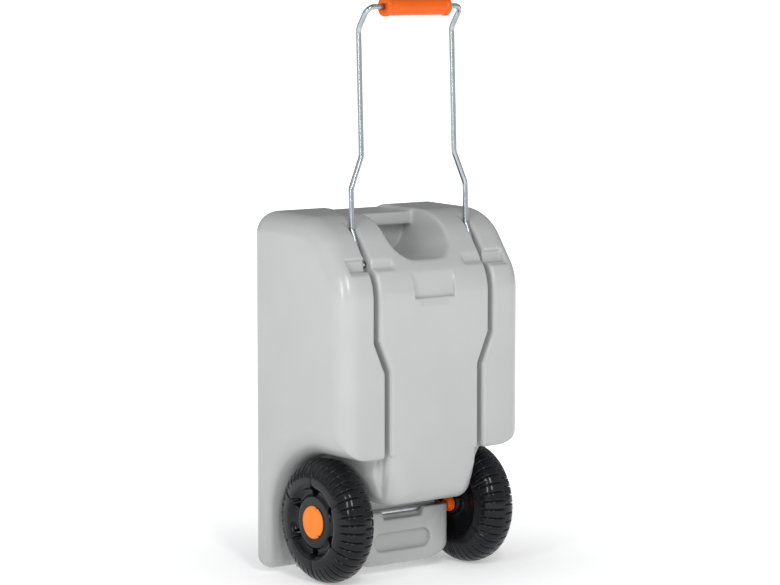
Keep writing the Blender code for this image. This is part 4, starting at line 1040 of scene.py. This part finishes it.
# %% Hand hole, wedge, chin and back cutters
BAR_FRONT_Y, BAR_LOW_Z = 0.0165, 0.5095
HAND_HALF, HAND_LOW_Z, HAND_FILLET, HAND_UNDER_BAR = 0.056, 0.468, 0.038, 0.022
DIP_START, DIP_LEVEL, DIP_DEPTH = -0.04625, BACK_Y - 0.030, 0.0045
WEDGE_HALF, WEDGE_LOW, WEDGE_HIGH, WEDGE_DEPTH = 0.037, 0.4147, 0.453, 0.007
LEDGE_HALF, LEDGE_LOW, LEDGE_HIGH, LEDGE_DEPTH = 0.027, 0.402, 0.415, 0.002
RECESS_REACH, RECESS_HALF, RECESS_Z, RECESS_DEPTH = 0.052, 0.014, 0.0485, 0.009
LIP_HALF, LIP_DROP, LIP_BACK, LIP_PAST = 0.038, 0.012, AXLE_Y - 0.004, 0.0003
INLET = {"height": 0.345, "well": 0.060, "bore": 0.028, "cap": 0.042, "flutes": 20}
DRAIN = {"height": 0.082, "well": 0.045, "bore": 0.018, "cap": 0.029, "flutes": 14}
WELL_DEPTH = 0.026
NECK_WALL = 0.004
NECK_HEIGHT = 0.016


def hand_cutters(extra):
    """The scoop in front of the bar, the blind pocket under it, and the dip of its top."""
    wide, high = HAND_HALF + extra, TANK_TOP + OUTSIDE
    near, low = BAR_FRONT_Y + extra, BAR_LOW_Z + extra
    far = near + HAND_UNDER_BAR
    hand_low, fillet = HAND_LOW_Z - extra, HAND_FILLET + extra
    arch = outline([
        (-wide, hand_low, fillet), (wide, hand_low, fillet), (wide, high, 0.0), (-wide, high, 0.0),
    ])
    hand = prism("hand", arch, FRONT_Y - OUTSIDE, far, FRONT_VIEW)
    past = OUTSIDE
    bar = rectangle(near, far + past, low, high + past)
    hand = combined(hand, [prism("bar", bar, -wide - past, wide + past, SIDE_VIEW)], "DIFFERENCE")
    dip_z = TANK_TOP - DIP_DEPTH - extra
    dip = [
        (DIP_START, dip_z - (DIP_LEVEL - DIP_START) * TOP_TILT), (DIP_LEVEL, dip_z),
        (BACK_Y + past, dip_z), (BACK_Y + past, high), (DIP_START, high),
    ]
    return [hand, prism("dip", dip, 0.002 - wide, wide - 0.002, SIDE_VIEW)]


def panel_cutters(extra):
    """The finger wedge, its ledge, and the chin's recess and notch."""
    front = FRONT_Y - OUTSIDE
    wedge_low, wedge_high = WEDGE_LOW - extra, WEDGE_HIGH + extra
    wedge = [
        (front, wedge_low), (FRONT_Y + WEDGE_DEPTH + extra, wedge_low),
        (FRONT_Y + (WEDGE_HIGH - SLOPE_FOOT_Z) / SLOPE + extra, wedge_high), (front, wedge_high),
    ]
    half, reach = RECESS_HALF + extra, RECESS_REACH + extra
    recess = rectangle(-reach, reach, RECESS_Z - half, RECESS_Z + half, half * NEARLY_ROUND)
    wide, low, high = LIP_HALF + extra, CHIN_TOP - LIP_DROP - extra, CHIN_TOP + LIP_PAST
    notch = [(0.003 - wide, low), (wide - 0.003, low), (wide, high), (-wide, high)]
    cutters = [
        prism("wedge", wedge, -WEDGE_HALF - extra, WEDGE_HALF + extra, SIDE_VIEW),
        prism("chin_recess", recess, front, CHIN_FRONT + RECESS_DEPTH + extra, FRONT_VIEW),
        prism("lip_notch", notch, front, LIP_BACK + extra, FRONT_VIEW),
    ]
    if not extra:
        ledge = [
            (front, LEDGE_LOW), (FRONT_Y, LEDGE_LOW), (FRONT_Y + LEDGE_DEPTH, LEDGE_HIGH),
            (front, LEDGE_HIGH),
        ]
        cutters.append(prism("ledge", ledge, -LEDGE_HALF, LEDGE_HALF, SIDE_VIEW))
    return cutters


def well_cutters(extra):
    """The round wells that the two screw caps sit in."""
    floor = BACK_Y - WELL_DEPTH - extra
    return [
        round_bar("well", cap["height"], cap["well"] + extra, cap["well"] + extra + 0.004, floor,
                  BACK_Y + OUTSIDE)
        for cap in (INLET, DRAIN)
    ]


# %% [markdown]
# ## The tank: one skin
#
# Boolean modifiers join and cut the sharp solids, and the hollow is taken out last, so the neck
# openings lead into a real hollow. Blow moulding leaves no sharp edge, because the hot wall only
# stretches round the mould. A fine voxel remesh followed by smoothing rounds every edge alike, in
# the grooves too, where a bevel would run out of room. Thinning then takes points out of the flat
# parts. It takes its normals from a further smoothed copy, so its flat parts shade calmly.

# %% Join and cut


def evaluated_mesh(thing):
    """The mesh that an object's modifiers make."""
    bpy.context.view_layer.update()
    return bpy.data.meshes.new_from_object(
        thing.evaluated_get(bpy.context.evaluated_depsgraph_get())
    )


def combined(solid, others, operation):
    """Join others to a solid, or cut it with them, and clear them away."""
    for other in others:
        step = solid.modifiers.new(other.name, "BOOLEAN")
        step.operation = operation
        step.solver = "EXACT"
        step.object = other
    mesh = evaluated_mesh(solid)
    solid.modifiers.clear()
    solid.data = mesh
    for other in others:
        bpy.data.objects.remove(other)
    return solid


# %% The hollow tank


def flared_mouth(wider, deep):
    """What widens the mouths of the bail's grooves down to a depth under the surface."""
    first, *others = bail_cutters(wider)
    mouths = combined(first, others, "UNION")
    under, joined = masses(deep)
    return combined(mouths, [combined(under, joined, "UNION")], "DIFFERENCE")


def all_cutters(extra):
    """Everything that is cut into the outside, grown by extra."""
    return bail_cutters(extra) + hand_cutters(extra) + panel_cutters(extra) + well_cutters(extra)


def tank_solid():
    """The hollow tank with sharp edges."""
    body, joined = masses(0.0)
    body = combined(body, joined, "UNION")
    near, far = AXLE_Y - TROUGH_HALF, AXLE_Y + TROUGH_HALF
    low, high, fillet = AXLE_Z - TROUGH_HALF, TONGUE_BOTTOM - WALL, TROUGH_HALF * NEARLY_ROUND
    trough = outline([(near, low, fillet), (far, low, fillet), (far, high, 0.0), (near, high, 0.0)])
    trough = prism("trough", trough, -TANK_HALF_WIDTH, TANK_HALF_WIDTH, SIDE_VIEW)
    body = combined(body, [trough], "DIFFERENCE")
    foot = outline([
        (FOOT_FRONT, 0.0, 0.004), (FOOT_BACK, 0.0, 0.004), (FOOT_BACK, FOOT_TOP, 0.0),
        (FOOT_FRONT, FOOT_TOP, 0.0),
    ])
    body = combined(body, [prism("foot", foot, -FOOT_HALF, FOOT_HALF, SIDE_VIEW)], "UNION")
    mouths = [flared_mouth(*mouth) for mouth in MOUTHS]
    body = combined(body, all_cutters(0.0) + mouths, "DIFFERENCE")
    hollow, joined = masses(WALL)
    hollow = combined(hollow, joined, "UNION")
    hollow = combined(hollow, all_cutters(WALL), "DIFFERENCE")
    body = combined(body, [hollow], "DIFFERENCE")
    floor = BACK_Y - WELL_DEPTH
    rim = floor + NECK_HEIGHT
    for cap in (INLET, DRAIN):
        outer = cap["bore"] + NECK_WALL
        neck = round_bar("neck", cap["height"], outer, outer, floor - WALL / 2, rim)
        body = combined(body, [neck], "UNION")
        bore = round_bar(
            "bore", cap["height"], cap["bore"], cap["bore"], floor - 2 * WALL, rim + WALL
        )
        body = combined(body, [bore], "DIFFERENCE")
    return body


# %% Remesh, smooth and thin
VOXEL = 0.0012
SMOOTH_ROUNDS = 5
CALM_ROUNDS = 14
HAND_ROUNDS = 60
HAND_REGION = ((-0.066, -0.120, 0.458), (0.066, 0.066, 0.560))
SKIN_TRIANGLES = 190000


def smoothed(solid, rounds, group=""):
    """The mesh of a solid after rounds of smoothing, all over or in a group of vertices."""
    smooth = solid.modifiers.new("smooth", "SMOOTH")
    smooth.factor, smooth.iterations, smooth.vertex_group = 0.5, rounds, group
    mesh = evaluated_mesh(solid)
    solid.modifiers.clear()
    return mesh


def moulded_skin(solid):
    """Round every edge of a solid, and thin the mesh where it is flat."""
    remesh = solid.modifiers.new("remesh", "REMESH")
    remesh.mode, remesh.voxel_size = "VOXEL", VOXEL
    solid.data = smoothed(solid, SMOOTH_ROUNDS)
    print("fine skin:", len(solid.data.polygons), "faces")
    places = vertex_values(solid.data, "co")
    near_hand = np.all((places > HAND_REGION[0]) & (places < HAND_REGION[1]), axis=1)
    group = solid.vertex_groups.new(name="hand_hole")
    group.add(np.flatnonzero(near_hand).tolist(), 1.0, "REPLACE")
    fine = smoothed(solid, HAND_ROUNDS, group.name)
    solid.vertex_groups.clear()
    solid.data = fine
    normals = vertex_values(smoothed(solid, CALM_ROUNDS), "normal")
    thin = solid.modifiers.new("thin", "DECIMATE")
    thin.ratio = min(1.0, SKIN_TRIANGLES / (2 * len(fine.polygons)))
    skin = evaluated_mesh(solid)
    bpy.data.objects.remove(solid)

    tree = KDTree(len(fine.vertices))
    for index, place in enumerate(vertex_values(fine, "co")):
        tree.insert(place, index)
    tree.balance()
    nearest = [tree.find(vertex.co)[1] for vertex in skin.vertices]
    skin.shade_smooth()
    skin.normals_split_custom_set_from_vertices(normals[nearest])
    return skin


finish_piece(
    "tank_skin", moulded_skin(tank_solid()), GREY, "tank", "grey_polyethylene", "tank_body"
)

# %% [markdown]
# ## Screw caps
#
# Two black caps close the necks in the back. Each is a lathe shape with a skirt round the neck and
# a raised rim on its top. Flutes pressed into its side give the hand a hold. Under each cap lies a
# flat rubber ring.

# %% Screw caps and gaskets
CAP_TOP_WALL, CAP_GAP, CAP_LOW, CAP_RIM = 0.003, 0.0006, 0.003, 0.006
SEAL_LOW, SEAL_HIGH = NECK_HEIGHT + 0.0003, NECK_HEIGHT + 0.0023
FLUTE_DEPTH, FLUTE_WIDTH = 0.0016, 2.4
for tag, cap in (("inlet", INLET), ("drain", DRAIN)):
    centre = Vector((0.0, BACK_Y - WELL_DEPTH, cap["height"]))
    outer = cap["bore"] + NECK_WALL
    under = SEAL_HIGH + 0.0003
    top = under + CAP_TOP_WALL
    inner, rim = outer + CAP_GAP, cap["cap"]
    section = rounded([
        (0.0, under), (inner, under), (inner, CAP_LOW), (rim, CAP_LOW), (rim, top),
        (rim - CAP_RIM, top), (rim - CAP_RIM - 0.001, top - 0.001), (0.0, top - 0.001),
    ], 0.0012)
    pressed = to_mesh(
        spun(section, cap["flutes"] * 16, centre, (0, 1, 0), (0, 0, 1)), tag + "_cap_skin"
    )
    for vertex in pressed.vertices:
        across, up = vertex.co.x, vertex.co.z - cap["height"]
        radius = math.hypot(across, up)
        if radius > rim - CAP_RIM / 2:
            turn = math.atan2(across, up) * cap["flutes"] / math.tau
            away = abs((turn + 0.5) % 1.0 - 0.5)
            press = FLUTE_DEPTH * max(0.0, math.cos(math.pi * min(away * FLUTE_WIDTH, 0.5)))
            vertex.co.x *= (radius - press) / radius
            vertex.co.z = cap["height"] + up * (radius - press) / radius
    finish_piece(
        tag + "_cap_skin", pressed, CAP_BLACK, tag + "_lid", "black_cap_plastic", tag + "_cap"
    )
    ring = rounded([
        (cap["bore"], SEAL_LOW), (outer, SEAL_LOW), (outer, SEAL_HIGH), (cap["bore"], SEAL_HIGH),
    ], 0.0004)
    seal = to_mesh(spun(ring, 96, centre, (0, 1, 0), (0, 0, 1)), tag + "_seal")
    finish_piece(tag + "_seal", seal, RUBBER, tag + "_seal", "black_rubber", tag + "_gasket")

# %% [markdown]
# ## Pieces that stay as they are
#
# The bushes, washers and push nuts sit under the hub caps. Their CAD shapes are right and stay,
# and only take the finer finishes.

# %% Finish the pieces that stay
for name in sorted(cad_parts):
    if name.startswith(("wheel_bush", "axle_washer", "axle_push_nut")):
        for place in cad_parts[name].material_slots:
            place.material = ORANGE if name.startswith("wheel_bush") else ZINC_STEEL
        print("kept", name)

# %% [markdown]
# ## Triangles
#
# The triangles of all the pieces are added up and printed. The looks must stay inside the CAD
# box.

# %% Measure and finish
print("triangles:", sum(TRIANGLES.values()))
